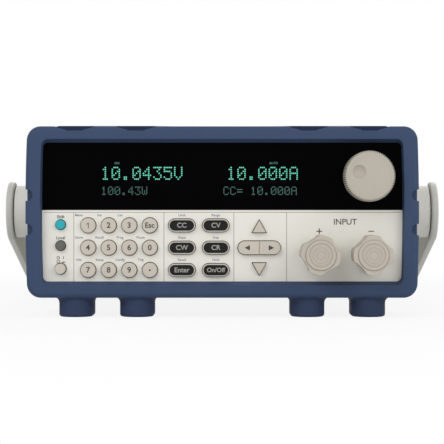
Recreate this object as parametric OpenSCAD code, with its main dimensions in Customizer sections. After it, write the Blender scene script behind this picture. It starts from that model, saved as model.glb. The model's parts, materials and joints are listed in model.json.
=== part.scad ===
// Bench DC electronic load: a half-rack case between two moulded bumpers, with a swinging bail handle,
// a keypad, a rotary knob, two screw terminals and the power stage, boards and fan inside.
// Inside the modules X runs to the right, Y runs back from the front bumper's face and Z runs up from
// the middle of the front panel. in_frame() then stands the load on its feet.

/* [Case] */
// Width of the sheet-metal case
case_w = 214.5; // [211:0.5:240]
// Height of the sheet-metal case
case_h = 88.2; // [87:0.2:100]
// Depth from the panel's face to the back of the case
case_d = 354.6; // [330:0.2:420]
// Radius of the case's long edges
case_r = 2; // [1.5:0.1:3]
// Thickness of the cover and tray sheet
sheet_t = 1.2; // [0.8:0.1:1.6]
// Height of the tray's side flanges
tray_flange_h = 14; // [12:0.5:18]
// Gap between pieces that slide together
fit = 0.15; // [0.1:0.05:0.25]

/* [Cover vents] */
// Number of slots in one row
vent_n = 14; // [6:1:16]
// Distance between slots
vent_pitch = 9; // [7:0.5:10]
// Width of a slot
vent_w = 3.4; // [2:0.2:4.5]
// Height of a slot
vent_h = 18; // [10:1:24]
// Height between the two rows of slots
vent_row = 27; // [26:1:32]
// Distance of the last slot from the back of the case
vent_back = 52; // [48:1:70]

/* [Bumpers] */
// Wall of the bumper over the case
bumper_t = 5.4; // [5:0.1:7]
// Depth of a bumper
bumper_d = 40; // [36:0.5:44]
// Thickness of the lip in front of the panel
lip_t = 5; // [4:0.1:7]
// Overlap of the lip on the panel
lip_w = 4; // [3:0.1:5]
// Widening of the mouth towards the front
mouth_flare = 2; // [1:0.1:2.6]
// Corner radius of the mouth at the panel
mouth_r = 2.6; // [1:0.1:3]
// Outer corner radius
bumper_r = 8; // [6.5:0.1:9]
// Radius round the outer front edge
bumper_edge = 3.2; // [1:0.1:3.2]
// Radius round the inner back edge
bumper_back_edge = 1.5; // [0.8:0.1:2.5]
// Depth of the side notches
notch_d = 8; // [5:0.5:12]
// Radius of the side notches
notch_r = 3.2; // [2.5:0.1:3.6]
// Distance of the notch centres from the outer face
notch_inset = 1.2; // [0.8:0.1:1.5]
// Height of the upper notch above the middle of the case
notch_high = 9.7; // [8:0.1:14]
// Drop of the lower notch below the middle of the case
notch_low = 10.1; // [8:0.1:14]

/* [Feet] */
// Height of the feet under the bumpers
foot_h = 11.3; // [11:0.1:16]
// Half width of a foot
foot_r = 10; // [8:0.1:11]
// Distance of the feet from the bumper's face
foot_inset = 3.5; // [3.3:0.1:5]
// Radius round the foot's tread
foot_edge = 1.6; // [0.8:0.1:2.5]
// Radius of the flare where a foot meets the bumper
foot_flare = 1.7; // [0.8:0.1:1.8]
// Sideways place of the inner feet
foot_x_inner = 49.6; // [46:0.1:56]
// Sideways place of the outer feet
foot_x_outer = 85; // [82:0.1:90]
// Room beside a foot in the stacking pocket
pocket_gap = 2.3; // [1.5:0.1:2.8]
// Depth of the stacking pockets
pocket_d = 2.6; // [1.5:0.1:2.8]
// Reach of the pockets past the bumper's face
pocket_over = 0.5; // [0.3:0.1:0.8]
// Thickness of the rib behind the pockets
rib_t = 2.7; // [2:0.1:3]
// Height of the rib behind the pockets
rib_h = 2.5; // [1:0.1:3]
// Height of the rib midway
rib_low = 1.7; // [0.8:0.1:1.8]

/* [Front panel] */
// Thickness of the moulded panel
panel_t = 4; // [3.2:0.1:5]
// Depth of the rim behind the panel
rim_d = 8; // [6:0.5:12]
// Thickness of the rim
rim_t = 2.5; // [1.6:0.1:3.2]
// Height of the dark window that shows
window_h = 39; // [38:0.1:40]
// Thickness of the window
window_t = 2; // [1.2:0.1:2.4]
// Width of the display's aperture
aperture_w = 122; // [110:0.5:126]
// Height of the display's aperture
aperture_h = 24; // [20:0.5:27]
// Distance of the aperture's middle from the mouth's left edge
aperture_x = 90.25; // [86:0.25:94]
// Distance of the aperture's middle below the mouth's top edge
aperture_z = 20; // [18:0.1:21]

/* [Display] */
// Margin of the display glass round its aperture
glass_margin = 5; // [3:0.5:6]
// Thickness of the display glass
glass_t = 5.4; // [4:0.1:6]
// Thickness of every circuit board
board_t = 1.6; // [1.2:0.1:2]

/* [Keys] */
// Gap round a key in its hole
key_gap = 0.4; // [0.25:0.05:0.45]
// Travel of a key
key_travel = 1.2; // [0.6:0.1:1.4]
// Reach of the keys in front of the panel
key_proud = 2.8; // [2:0.1:3.6]
// Thickness of the collar that holds a key behind the panel
collar_t = 1; // [0.8:0.1:1.4]
// Width of the collar round a key
collar_w = 1; // [0.7:0.05:1.2]
// Gap between a key's collar and the panel
collar_gap = 0.2; // [0.1:0.05:0.3]
// Length of the key stems behind their collars
stem_l = 0.8; // [0.6:0.1:1]
// Radius of the key stems
stem_r = 1.5; // [1:0.1:2]
// Radius round the front edge of round keys
key_edge = 0.7; // [0.3:0.1:1]
// Diameter of a number key
digit_dia = 8.6; // [7.5:0.1:9]
// Distance between number keys in a row
digit_pitch = 11.87; // [11.8:0.01:12.2]
// Space between the small keys and the number keys, as its share of the panel's free width
digit_space = 8.6; // [7:0.1:10]
// Distance of the top row of keys below the window
head_z = 8.8; // [8.2:0.1:9.2]
// Height of the lowest row above the mouth's bottom edge
row_z = 6.6; // [6.2:0.1:7]
// Distance between the rows of keys
row_pitch = 12.9; // [12.4:0.05:13]
// Width of a function key
pill_w = 15.4; // [13:0.1:16]
// Height of a function key
pill_h = 7.3; // [6:0.1:8]
// Width of the rim round a function key's face
pill_rim = 0.8; // [0.4:0.1:1.2]
// Step from the rim up to the face
pill_step = 0.4; // [0.2:0.1:0.8]
// Space between the number keys and the function keys, as its share of the free width
pill_space = 6.49; // [5.5:0.01:8]
// Distance between the function keys
pill_pitch = 19.6; // [19.2:0.1:20]
// Space between the function keys and the arrow keys, as its share of the free width
arrow_space = 5.2; // [4.6:0.1:6.5]
// Width of the pair of side arrow keys
arrow_pair_w = 24.4; // [22:0.1:24.8]
// Height of the pair of side arrow keys
arrow_pair_h = 7.6; // [6:0.1:8]
// Slit between the two side arrow keys
arrow_slit = 0.5; // [0.3:0.05:0.8]
// Width of an upright arrow key
arrow_w = 7.7; // [6:0.1:8.4]
// Height of an upright arrow key
arrow_h = 6.9; // [5.5:0.1:7.2]
// Distance of the upright arrow keys from the side ones
arrow_rise = 12.3; // [12:0.1:12.8]
// Space between the mouth's left edge and the power button, as its share of the free width
small_space = 6.75; // [5.5:0.05:8]
// Diameter of the two small keys
small_dia = 5.5; // [4.5:0.1:6.2]
// Height of the shift key above the mouth's bottom edge
shift_z = 32.8; // [32:0.1:33.5]
// Height of the local key above the mouth's bottom edge
local_z = 20.7; // [20:0.1:21.5]

/* [Power button] */
// Diameter of the power button
power_dia = 6.2; // [5:0.1:6.8]
// Height of the power button above the mouth's bottom edge
power_z = 7.3; // [6.8:0.1:8]
// Travel of the power button
power_travel = 3; // [2:0.1:4]
// Reach of the power button in front of the panel
power_proud = 4.2; // [4:0.1:6]
// Diameter of the rod to the mains switch
rod_dia = 4; // [3:0.1:4.4]
// Length of the rod inside the mains switch
rod_depth = 8; // [6:0.5:10]
// Depth of the mains switch's front behind the panel
switch_y = 44; // [36:0.5:50]
// Length of the mains switch
switch_l = 22; // [18:0.5:26]
// Width of the mains switch
switch_w = 13; // [11:0.5:15]

/* [Key board] */
// Depth of the key board behind the panel
key_board_y = 7.5; // [7.5:0.1:9]
// Radius of the panel bosses that carry the key board
boss_r = 1.9; // [1.4:0.1:2.1]
// Space round the bosses
boss_gap = 0.4; // [0.3:0.1:0.8]
// Width of the tactile switches
tact_w = 6; // [5:0.1:6.4]
// Height of the tactile switches
tact_h = 3; // [2.4:0.1:3.4]

/* [Rotary knob] */
// Diameter of the knob
knob_dia = 29; // [26:0.1:32]
// Length of the knob
knob_l = 16.2; // [12:0.1:18]
// Gap between the knob and the window
knob_gap = 0.8; // [0.5:0.1:0.9]
// Radius round the knob's front edge
knob_edge = 1.4; // [0.6:0.1:2]
// Distance of the knob from the mouth's right edge
knob_x = 19.25; // [18.6:0.05:21]
// Distance of the knob below the mouth's top edge
knob_z = 19.6; // [19:0.1:20.4]
// Thickness of the knob's closed front
knob_cap_t = 3; // [2.6:0.1:4]
// Diameter of the finger dimple
dimple_dia = 8; // [6:0.1:9]
// Depth of the finger dimple
dimple_d = 1.6; // [0.8:0.1:2.2]
// Diameter of the encoder's shaft
shaft_dia = 6; // [5:0.1:6.2]
// Diameter of the encoder's threaded bush
bush_dia = 9; // [8:0.1:10]
// Width of the encoder's body
encoder_w = 13; // [12:0.1:15]
// Depth of the encoder's body
encoder_d = 6.5; // [5:0.1:8]
// Running gap round turning shafts
run = 0.05; // [0.02:0.01:0.08]

/* [Terminals] */
// Distance between the two terminals
terminal_pitch = 29.7; // [28:0.1:31]
// Space between the arrow keys and the terminals, as its share of the free width
terminal_space = 10; // [8:0.1:12]
// Space between the terminals and the mouth's right edge, as its share of the free width
end_space = 5.95; // [5:0.05:8]
// Height of the terminals above the mouth's bottom edge
terminal_z = 15.8; // [14.5:0.1:17]
// Diameter over the lobes of a terminal knob
terminal_dia = 24; // [20:0.1:25]
// Length of a terminal knob
terminal_l = 22; // [18:0.1:26]
// Radius of the hollows between the lobes
flute_r = 8.4; // [7:0.1:10]
// Depth of the hollows between the lobes
flute_d = 2.8; // [1.6:0.1:3.2]
// Thickness of the terminal knob's closed front
terminal_cap_t = 3.5; // [2.5:0.1:5]
// Diameter of the knob's raised front disc
disc_dia = 16.8; // [14:0.1:18]
// Height of the knob's front disc
disc_t = 1; // [0.6:0.1:1.6]
// Width of the ring cut in the front disc
ring_w = 0.8; // [0.4:0.1:1.2]
// Depth of the ring cut in the front disc
ring_d = 0.6; // [0.3:0.1:0.9]
// Turn of the positive terminal knob
positive_turn = -14; // [-45:1:45]
// Thickness of the clamping washer
washer_t = 2; // [1.2:0.1:2.6]
// Diameter of the clamping washer
washer_dia = 17.6; // [15:0.1:19]
// Diameter of the insulator's flange
insulator_dia = 19; // [17:0.1:22]
// Thickness of the insulator's flange
insulator_t = 3; // [2:0.1:4]
// Diameter of the insulator's neck in the panel
neck_dia = 15; // [13:0.1:16]
// Diameter of the terminal studs
stud_dia = 8; // [6:0.1:8.4]
// Distance across the corners of the stud's nuts
nut_dia = 16; // [13:0.1:17]
// Thickness of the stud's nuts
nut_t = 5; // [4:0.1:6]
// Length of the studs behind their nuts
stud_tail = 2; // [1:0.5:4]
// Thickness of the copper bars
bar_t = 2.5; // [2:0.1:4]
// Width of the copper bars
bar_w = 16; // [14:0.1:20]
// Overlap of a copper bar on the power board
bar_lap = 14; // [10:0.5:18]

/* [Handle] */
// Depth of the handle's pivot behind the bumper's face
pivot_y = 85; // [75:0.5:100]
// Length from the pivot to the middle of the grip
handle_l = 150; // [142:0.5:165]
// Length of a hub from the case to its end
hub_l = 21.4; // [18:0.1:24]
// Diameter of a hub
hub_dia = 32; // [28:0.1:34]
// Diameter of a hub's base
hub_base_dia = 36; // [35:0.1:40]
// Thickness of a hub's base
hub_base_t = 3; // [2:0.1:5]
// Diameter of the pin that an arm turns on
pivot_dia = 14; // [10:0.1:18]
// Length of the pin in the arm
pivot_l = 3; // [2.4:0.1:3.4]
// Gap between a hub and its arm
arm_gap = 0.5; // [0.3:0.1:0.9]
// Thickness of an arm
arm_t = 4.2; // [4.2:0.1:6]
// Radius of an arm round its pivot
arm_r = 18.5; // [15:0.1:20]
// Diameter of the grip
grip_dia = 14; // [12:0.1:14.4]
// Height of the folded grip over the table
grip_lift = 1; // [0.8:0.1:1.6]

/* [Rear panel] */
// Thickness of the rear panel
rear_t = 2; // [1.2:0.1:2.4]
// Room above and below the square fan
fan_room = 2.9; // [1.9:0.1:4.9]
// Depth of the fan
fan_d = 25; // [20:0.5:28]
// Distance of the fan's middle from the case's right side
fan_x = 47.25; // [45:0.25:52]
// Distance of the fan's screws from its edges
fan_screw_inset = 4.25; // [3.75:0.25:7]
// Radius of the fan's motor
motor_r = 15; // [13:0.5:17]
// Width of the struts that carry the motor
strut_w = 5; // [3:0.5:7]
// Width of a slot in the fan grille
grille_slot = 3.4; // [2.4:0.1:3.8]
// Distance between rings of the fan grille
grille_pitch = 5.4; // [5:0.1:6]
// Width of the spokes across the fan grille
grille_spoke = 5; // [3:0.1:7]
// Radius of the closed middle of the fan grille
grille_hub = 9; // [6:0.5:10]
// Distance of the mains inlet from the case's left side
inlet_x = 24; // [22:0.5:28]
// Height of the mains inlet over the rear mouth's bottom edge
inlet_rise = 20.1; // [20.1:0.1:24]
// Width of the mains inlet's flange
inlet_w = 31; // [30:0.1:34]
// Height of the mains inlet's flange
inlet_h = 36; // [34:0.1:38]
// Overlap of the mains inlet's flange on the panel
inlet_lap = 3; // [2:0.1:4]
// Depth of the mains inlet behind the rear panel
inlet_d = 22; // [20:0.5:28]
// Height of the two data ports over the rear mouth's bottom edge
port_rise = 20.1; // [12:0.1:30]
// Distance of the serial port from the case's left side
serial_x = 68; // [66:0.5:72]
// Distance of the small data port from the case's left side
usb_x = 99; // [97:0.5:102]
// Width of the sense terminal strip
sense_w = 42; // [36:1:48]
// Height of the sense terminal strip
sense_h = 11; // [9:0.5:14]
// Distance of the sense strip from the case's left side
sense_x = 84; // [78:0.5:88]
// Distance of the sense strip below the rear mouth's top edge
sense_drop = 22.1; // [12:0.1:32]

/* [Power stage] */
// Height of the boards over the tray
standoff_h = 6; // [5:0.5:8]
// Radius of the standoffs
standoff_r = 3; // [2.4:0.1:4]
// Depth of the power board's front edge behind the panel
power_board_y = 83; // [78:0.5:90]
// Width of the power board
power_board_w = 72; // [66:0.5:73]
// Height of the power transistors
transistor_h = 5; // [4:0.1:6]
// Width of the heat sink
sink_w = 82; // [80:0.5:86]
// Distance of the heat sink's front from the power board's front edge
sink_y = 24; // [20:0.5:30]
// Gap between the heat sink's legs and the power board
leg_gap = 1; // [0.5:0.1:2]
// Gap between the heat sink and the fan
sink_gap = 3; // [2:0.5:6]
// Thickness of the heat sink's base
sink_base_t = 6; // [5:0.5:8]
// Height of the heat sink's fins
fin_h = 58; // [48:1:60]
// Thickness of a fin
fin_t = 2; // [1.4:0.1:2.4]
// Number of fins
fin_n = 14; // [8:1:16]

/* [Control stage] */
// Distance of the control board from the case's left side
control_side = 10.25; // [9:0.25:22]
// Length of the control board
control_l = 96; // [86:1:104]
// Gap between the control board and the heat sink
control_gap = 8; // [6:0.5:10]
// Depth of the control board's front edge behind the panel
control_y = 83; // [81:0.5:90]
// Width of the transformer
transformer_w = 58; // [50:1:62]
// Length of the transformer's core
transformer_l = 44; // [36:1:48]
// Height of the transformer
transformer_h = 54; // [44:1:58]
// Distance of the transformer from the back of the case
transformer_back = 60; // [56:1:72]

/* [Hidden] */
$fn = 48;
// Overrun of a cut past the face it opens
cut = 1;
// Room past the end of a pin or shaft
end_gap = 0.3;

DIGIT_KEYS = ["key_1", "key_2", "key_3", "key_escape", "key_4", "key_5", "key_6", "key_0",
    "key_7", "key_8", "key_9", "key_point"];
PILL_KEYS = ["key_cc", "key_cv", "key_cw", "key_cr", "key_enter", "key_on_off"];
TERMINALS = ["positive", "negative"];

// Bumpers and the frame of the whole load
bumper_w = case_w + 2 * bumper_t;
bumper_h = case_h + 2 * bumper_t;
body_d = case_d + 2 * lip_t;
axis_z = foot_h + bumper_h / 2;
terminal_reach = terminal_l + washer_t + insulator_t - lip_t;
frame_y = (terminal_reach - body_d) / 2;
front_edge = min(bumper_edge, bumper_r / 2 - 0.05);
pocket_back = bumper_d - bumper_back_edge - rib_t;

// Depths and levels that the pieces share
panel_y = lip_t;
panel_back = panel_y + panel_t;
cover_y = panel_back + rim_d;
case_back = panel_y + case_d;
rear_y = case_back - rear_t;
inner_w = case_w - 2 * sheet_t;
tray_w = inner_w - 2 * fit;
floor_z = sheet_t - case_h / 2;
ceiling_z = case_h / 2 - sheet_t;
board_z = floor_z + standoff_h;
board_top = board_z + board_t;

// The mouth of the front bumper, which the controls are placed from
mouth_w = case_w - 2 * lip_w;
mouth_h = case_h - 2 * lip_w;
left = -mouth_w / 2;
right = mouth_w / 2;
low = -mouth_h / 2;
high = mouth_h / 2;

// Columns of controls across the mouth, with the free width shared out between them
digit_cols = 4;
pill_cols = 2;
rows = 3;
digits_w = (digit_cols - 1) * digit_pitch + digit_dia;
pills_w = (pill_cols - 1) * pill_pitch + pill_w;
terminals_w = terminal_pitch + terminal_dia;
free_w = mouth_w - power_dia - digits_w - pills_w - arrow_pair_w - terminals_w;
shares = small_space + digit_space + pill_space + arrow_space + terminal_space + end_space;
share = free_w / shares;
small_x = left + share * small_space + power_dia / 2;
digit_x = small_x + (power_dia + digit_dia) / 2 + share * digit_space;
pill_x = digit_x + digits_w - digit_dia / 2 + share * pill_space + pill_w / 2;
arrow_x = pill_x + pills_w - pill_w / 2 + share * arrow_space + arrow_pair_w / 2;
terminal_middle = right - share * end_space - terminals_w / 2;

// Heights on the panel, which stretch together to fill the mouth
stretch = mouth_h / (window_h + head_z + (rows - 1) * row_pitch + row_z);
window_z = high - stretch * window_h;
row_step = stretch * row_pitch;
top_row = window_z - stretch * head_z;
middle_row = top_row - row_step;
aperture_level = high - stretch * aperture_z;
terminal_level = low + stretch * terminal_z;

// Keys
collar_y = panel_back + collar_gap;
stem_end = collar_y + collar_t + stem_l;
key_board_front = panel_back + key_board_y;
tact_face = key_board_front - tact_h;
plunger_y = stem_end + key_travel + collar_gap;
key_face = panel_y - key_proud;
arrow_side_x = arrow_pair_w / 4;
digit_places = [for (row = [0 : rows - 1], col = [0 : digit_cols - 1])
    [digit_x + col * digit_pitch, top_row - row * row_step]];
pill_places = [for (row = [0 : rows - 1], col = [0 : pill_cols - 1])
    [pill_x + col * pill_pitch, top_row - row * row_step]];
arrow_middle = [arrow_x, middle_row];
up_place = arrow_middle + [0, stretch * arrow_rise];
down_place = arrow_middle - [0, stretch * arrow_rise];
side_places = [arrow_middle - [arrow_side_x, 0], arrow_middle + [arrow_side_x, 0]];
shift_place = [small_x, low + stretch * shift_z];
local_place = [small_x, low + stretch * local_z];
power_place = [small_x, low + stretch * power_z];
tact_places = concat(digit_places, pill_places, side_places,
    [up_place, down_place, shift_place, local_place]);
digit_reach = digit_dia / 2 + collar_w;
pill_reach = pill_w / 2 + collar_w;
small_reach = small_dia / 2 + collar_w;
pair_reach = arrow_pair_w / 2 + collar_w;
key_board_left = shift_place.x - tact_w;
key_board_right = arrow_middle.x + pair_reach + 2 * (boss_r + boss_gap);
key_board_low = power_place.y - 1.4 * rod_dia;
key_board_high = top_row + tact_w;
boss_x = [(shift_place.x + small_reach + digit_places[0].x - digit_reach) / 2,
    (digit_places[digit_cols - 1].x + digit_reach + pill_places[0].x - pill_reach) / 2,
    key_board_right - boss_r - boss_gap];
boss_z = [middle_row + row_step / 2, middle_row - row_step / 2];
rod_end = panel_back + switch_y + rod_depth;

// Rotary knob
knob_place = [right - knob_x, high - stretch * knob_z];
knob_back = panel_y - knob_gap;
knob_front = knob_back - knob_l;
shaft_front = knob_front + knob_cap_t;
encoder_back = panel_back + encoder_d;
encoder_wall = 0.8;
dimple_place = [-6.1, 2.4];
dimple_ball = (dimple_dia * dimple_dia / 4 + dimple_d * dimple_d) / (2 * dimple_d);

// Terminals
terminal_places = [terminal_middle - terminal_pitch / 2, terminal_middle + terminal_pitch / 2];
insulator_front = panel_y - insulator_t;
washer_front = insulator_front - washer_t;
knob_base = washer_front;
terminal_front = knob_base - terminal_l;
bar_y = panel_back + nut_t;
power_board_front = panel_back + power_board_y;
lobe_turn = [positive_turn, 0];

// Handle, folded back under the case
hub_x = case_w / 2;
hub_end = hub_x + hub_l;
arm_x = hub_end + arm_gap;
arm_end_r = grip_dia / 2 + end_gap;
fold_angle = asin((axis_z - grip_dia / 2 - grip_lift) / handle_l);
spigot_r = 6;

// Rear panel, fan and power stage
fan_place = case_w / 2 - fan_x;
fan_y = rear_y - fan_d;
fan_w = case_h - 2 * (sheet_t + fan_room);
fan_screw_pitch = fan_w - 2 * fan_screw_inset;
fan_hole_r = fan_w / 2 - 1.6;
fan_corner_r = 4;
fan_base_t = 4;
fan_axle_r = 1.5;
fan_screw_r = 1.9;
fan_screw_l = 8;
rotor_inset = 2;
rotor_r = motor_r + 2;
blade_n = 7;
blade_angle = 38;
blade_t = 1.6;
blade_gap = 1.4;
rear_screw_head_r = 3;
screw_head_t = 1.8;
side_screw_r = 1.5;
side_screw_z = floor_z + tray_flange_h / 2;
side_screw_front = 40;
side_screw_back = 45;
side_screw_y = [cover_y + side_screw_front, (cover_y + case_back) / 2, case_back - side_screw_back];
inlet_place = inlet_x - case_w / 2;
inlet_z = low + inlet_rise;
port_z = low + port_rise;
sense_z = high - sense_drop;
serial_place = serial_x - case_w / 2;
usb_place = usb_x - case_w / 2;
sense_place = sense_x - case_w / 2;
inlet_flange_t = 2.4;
inlet_body = [inlet_w, inlet_h] - [2, 2] * inlet_lap;
serial_w = 31;
serial_h = 12.5;
serial_shell_w = 17;
serial_shell_h = 8.4;
serial_corner = 1.5;
usb_w = 12;
usb_h = 11;
sense_n = 8;
sink_front = power_board_front + sink_y;
sink_back = fan_y - sink_gap;
sink_low = board_top + transistor_h;
sink_leg_t = (sink_w - power_board_w) / 2 - leg_gap;
transistor_w = 15;
transistor_l = 20;
transistor_n = 4;
control_place = control_side - case_w / 2;
control_w = fan_place - sink_w / 2 - control_gap - control_place;
transformer_place = control_place + transformer_w / 2 + control_gap;
transformer_end = case_back - transformer_back;

// Stands the load on its feet, with its middle over the origin
module in_frame() {
    translate([0, frame_y, axis_z])
        children();
}

// Outlines drawn in X and Z, extruded from one depth to another
module plate_y(y0, y1) {
    translate([0, y1, 0])
        rotate([90, 0, 0])
            linear_extrude(height = y1 - y0)
                children();
}

module rod_y(place, y0, y1, r) {
    translate([place.x, y0, place.y])
        rotate([-90, 0, 0])
            cylinder(h = y1 - y0, r = r);
}

module rod_x(x0, x1, r) {
    translate([x0, 0, 0])
        rotate([0, 90, 0])
            cylinder(h = x1 - x0, r = r);
}

// A block between two opposite corners
module block(from, to) {
    translate(from)
        cube(to - from);
}

// A profile of radius and reach, turned about Y with the reach towards the front
module turned_y(place, y1) {
    translate([place.x, y1, place.y])
        rotate([90, 0, 0])
            rotate_extrude()
                children();
}

module rounded_rect(w, h, r) {
    square([w - 2 * r, h], center = true);
    square([w, h - 2 * r], center = true);
    for (x = [-1, 1], y = [-1, 1])
        translate([x * (w / 2 - r), y * (h / 2 - r)])
            circle(r);
}

module pill(w, h) {
    square([w - h, h], center = true);
    for (x = [-1, 1])
        translate([x * (w - h) / 2, 0])
            circle(h / 2);
}

// Upright triangle with its middle at half its height
module triangle(w, h) {
    polygon([[-w / 2, -h / 2], [w / 2, -h / 2], [0, h / 2]]);
}

// The same triangle with every side moved out by a gap
module grown_triangle(w, h, gap) {
    slope = sqrt(h * h + w * w / 4);
    rise = gap * slope / (w / 2);
    half = w / 2 + gap * (slope + w / 2) / h;
    polygon([[-half, -h / 2 - gap], [half, -h / 2 - gap], [0, h / 2 + rise]]);
}

module case_outline(inset) {
    rounded_rect(case_w - 2 * inset, case_h - 2 * inset, max(case_r - inset, 0.5));
}

// Wall of a bumper from its corner centre outwards, rounded at the front and the back
module bumper_profile() {
    square([bumper_r - front_edge, bumper_d]);
    translate([0, front_edge])
        square([bumper_r, bumper_d - front_edge - bumper_back_edge]);
    translate([0, front_edge])
        square([bumper_r - bumper_back_edge, bumper_d - front_edge]);
    translate([bumper_r - front_edge, front_edge])
        circle(front_edge);
    translate([bumper_r - bumper_back_edge, bumper_d - bumper_back_edge])
        circle(bumper_back_edge);
}

// The bumper's outer skin, swept round the case
module bumper_skin() {
    half_w = bumper_w / 2 - bumper_r;
    half_h = bumper_h / 2 - bumper_r;
    for (side = [0, 1])
        mirror([side, 0, 0])
            translate([half_w, 0, -half_h])
                linear_extrude(height = 2 * half_h)
                    bumper_profile();
    for (side = [0, 1])
        mirror([0, 0, side])
            translate([half_w, 0, half_h])
                rotate([0, -90, 0])
                    linear_extrude(height = 2 * half_w)
                        bumper_profile();
    for (side = [0, 1], end = [0, 1])
        mirror([side, 0, 0])
            mirror([0, 0, end])
                translate([half_w, 0, -half_h])
                    rotate([-90, 0, 0])
                        rotate_extrude(angle = 90)
                            bumper_profile();
    block([-half_w, 0, -half_h], [half_w, lip_t, half_h]);
}

// The mouth that shows the panel, wider at the front than at the panel
module flared_mouth() {
    over = mouth_flare * (1 + cut / lip_t);
    centre_x = mouth_w / 2 - mouth_r;
    centre_z = mouth_h / 2 - mouth_r;
    for (x = [-centre_x, centre_x], z = [-centre_z, centre_z])
        translate([x, lip_t, z])
            rotate([90, 0, 0])
                cylinder(h = lip_t + cut, r1 = mouth_r, r2 = mouth_r + over);
    translate([0, 0, -centre_z])
        linear_extrude(height = 2 * centre_z)
            polygon([[-mouth_w / 2, lip_t], [mouth_w / 2, lip_t],
                [mouth_w / 2 + over, -cut], [-mouth_w / 2 - over, -cut]]);
    translate([centre_x, 0, 0])
        rotate([0, -90, 0])
            linear_extrude(height = 2 * centre_x)
                polygon([[-mouth_h / 2, lip_t], [mouth_h / 2, lip_t],
                    [mouth_h / 2 + over, -cut], [-mouth_h / 2 - over, -cut]]);
}

// Half of a foot's section, rounded round the tread
module foot_profile(h) {
    translate([0, foot_edge])
        square([foot_r, h - foot_edge]);
    square([foot_r - foot_edge, h]);
    translate([foot_r - foot_edge, foot_edge])
        circle(foot_edge);
    difference() {
        translate([0, foot_h - foot_flare])
            square([foot_r + foot_flare, h - foot_h + foot_flare]);
        translate([foot_r + foot_flare, foot_h - foot_flare])
            circle(foot_flare);
    }
}

// A foot with round ends, longer from front to back
module foot(x) {
    h = foot_h + bumper_t / 2;
    front = foot_inset + foot_r;
    run_l = bumper_d - 2 * front;
    translate([x, front, -axis_z]) {
        rotate([0, 0, 180])
            rotate_extrude(angle = 180)
                foot_profile(h);
        translate([0, run_l, 0])
            rotate_extrude(angle = 180)
                foot_profile(h);
        for (side = [0, 1])
            mirror([side, 0, 0])
                translate([0, run_l, 0])
                    rotate([90, 0, 0])
                        linear_extrude(height = run_l)
                            foot_profile(h);
    }
}

// The pocket that takes a foot of the next instrument in a stack, bowed at the front
module stacking_pocket(x) {
    half = foot_r + pocket_gap;
    bow = front_edge + 2 * pocket_over;
    bow_r = (half * half + bow * bow) / (2 * bow);
    translate([x, 0, bumper_h / 2 - pocket_d])
        linear_extrude(height = pocket_d + cut)
            intersection() {
                translate([-half, -cut])
                    square([2 * half, pocket_back + cut]);
                translate([0, bow_r - pocket_over])
                    circle(bow_r);
            }
}

// The rib on top that stops the feet of the next instrument, highest behind the pockets
module stop_rib() {
    end = bumper_w / 2 - bumper_r;
    start = foot_x_inner - 0.75 * foot_r;
    stop = foot_x_outer + 0.75 * foot_r;
    plate_y(pocket_back, pocket_back + rib_t)
        translate([0, bumper_h / 2])
            polygon([[-end, -cut], [end, -cut], [end, 0], [stop, rib_h], [start, rib_h], [cut, rib_low],
                [-cut, rib_low], [-start, rib_h], [-stop, rib_h], [-end, 0]]);
}

module bumper() {
    foot_places = [-foot_x_outer, -foot_x_inner, foot_x_inner, foot_x_outer];
    difference() {
        union() {
            bumper_skin();
            for (x = foot_places)
                foot(x);
            stop_rib();
        }
        plate_y(lip_t, bumper_d + cut)
            rounded_rect(case_w + 2 * fit, case_h + 2 * fit, case_r);
        flared_mouth();
        for (x = foot_places)
            stacking_pocket(x);
        for (side = [-1, 1], z = [notch_high, -notch_low])
            rod_y([side * (bumper_w / 2 - notch_inset), z], -cut, notch_d, notch_r);
    }
}

module front_bumper() {
    color("#3e4d68")
        in_frame()
            bumper();
}

module rear_bumper() {
    color("#3e4d68")
        in_frame()
            translate([0, body_d, 0])
                mirror([0, 1, 0])
                    bumper();
}

module case_cover() {
    color("#c9c8c2")
        in_frame()
            difference() {
                plate_y(cover_y, case_back)
                    difference() {
                        case_outline(0);
                        case_outline(sheet_t);
                        translate([-inner_w / 2, -case_h / 2 - cut])
                            square([inner_w, case_h / 2 + cut]);
                    }
                for (i = [0 : vent_n - 1], z = [-vent_row / 2, vent_row / 2])
                    translate([0, case_back - vent_back - i * vent_pitch, z])
                        rotate([90, 0, 90])
                            linear_extrude(height = case_w + 2 * cut, center = true)
                                rotate(90)
                                    pill(vent_h, vent_w);
                translate([0, pivot_y, 0])
                    rod_x(-case_w / 2 - cut, case_w / 2 + cut, spigot_r + fit);
                for (y = side_screw_y)
                    translate([0, y, side_screw_z])
                        rod_x(-case_w / 2 - cut, case_w / 2 + cut, side_screw_r + fit);
            }
}

module chassis_tray() {
    inset = 2 * standoff_r;
    standoffs = concat(
        [for (x = [-1, 1], y = [power_board_front + inset, sink_back - inset])
            [fan_place + x * (power_board_w / 2 - inset), y]],
        [for (x = [inset, control_w - inset], y = [inset, control_l - inset])
            [control_place + x, panel_back + control_y + y]]);
    color("#b9bcbe")
        in_frame() {
            difference() {
                union() {
                    block([-tray_w / 2, cover_y, -case_h / 2], [tray_w / 2, case_back, floor_z]);
                    for (side = [0, 1])
                        mirror([side, 0, 0])
                            block([tray_w / 2 - sheet_t, cover_y + 1, -case_h / 2],
                                [tray_w / 2, rear_y - fit, floor_z + tray_flange_h]);
                    for (place = standoffs)
                        translate([place.x, place.y, -case_h / 2])
                            cylinder(h = standoff_h + sheet_t, r = standoff_r);
                }
                for (y = side_screw_y)
                    translate([0, y, side_screw_z])
                        rod_x(-case_w / 2, case_w / 2, side_screw_r + fit);
            }
        }
}

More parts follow.
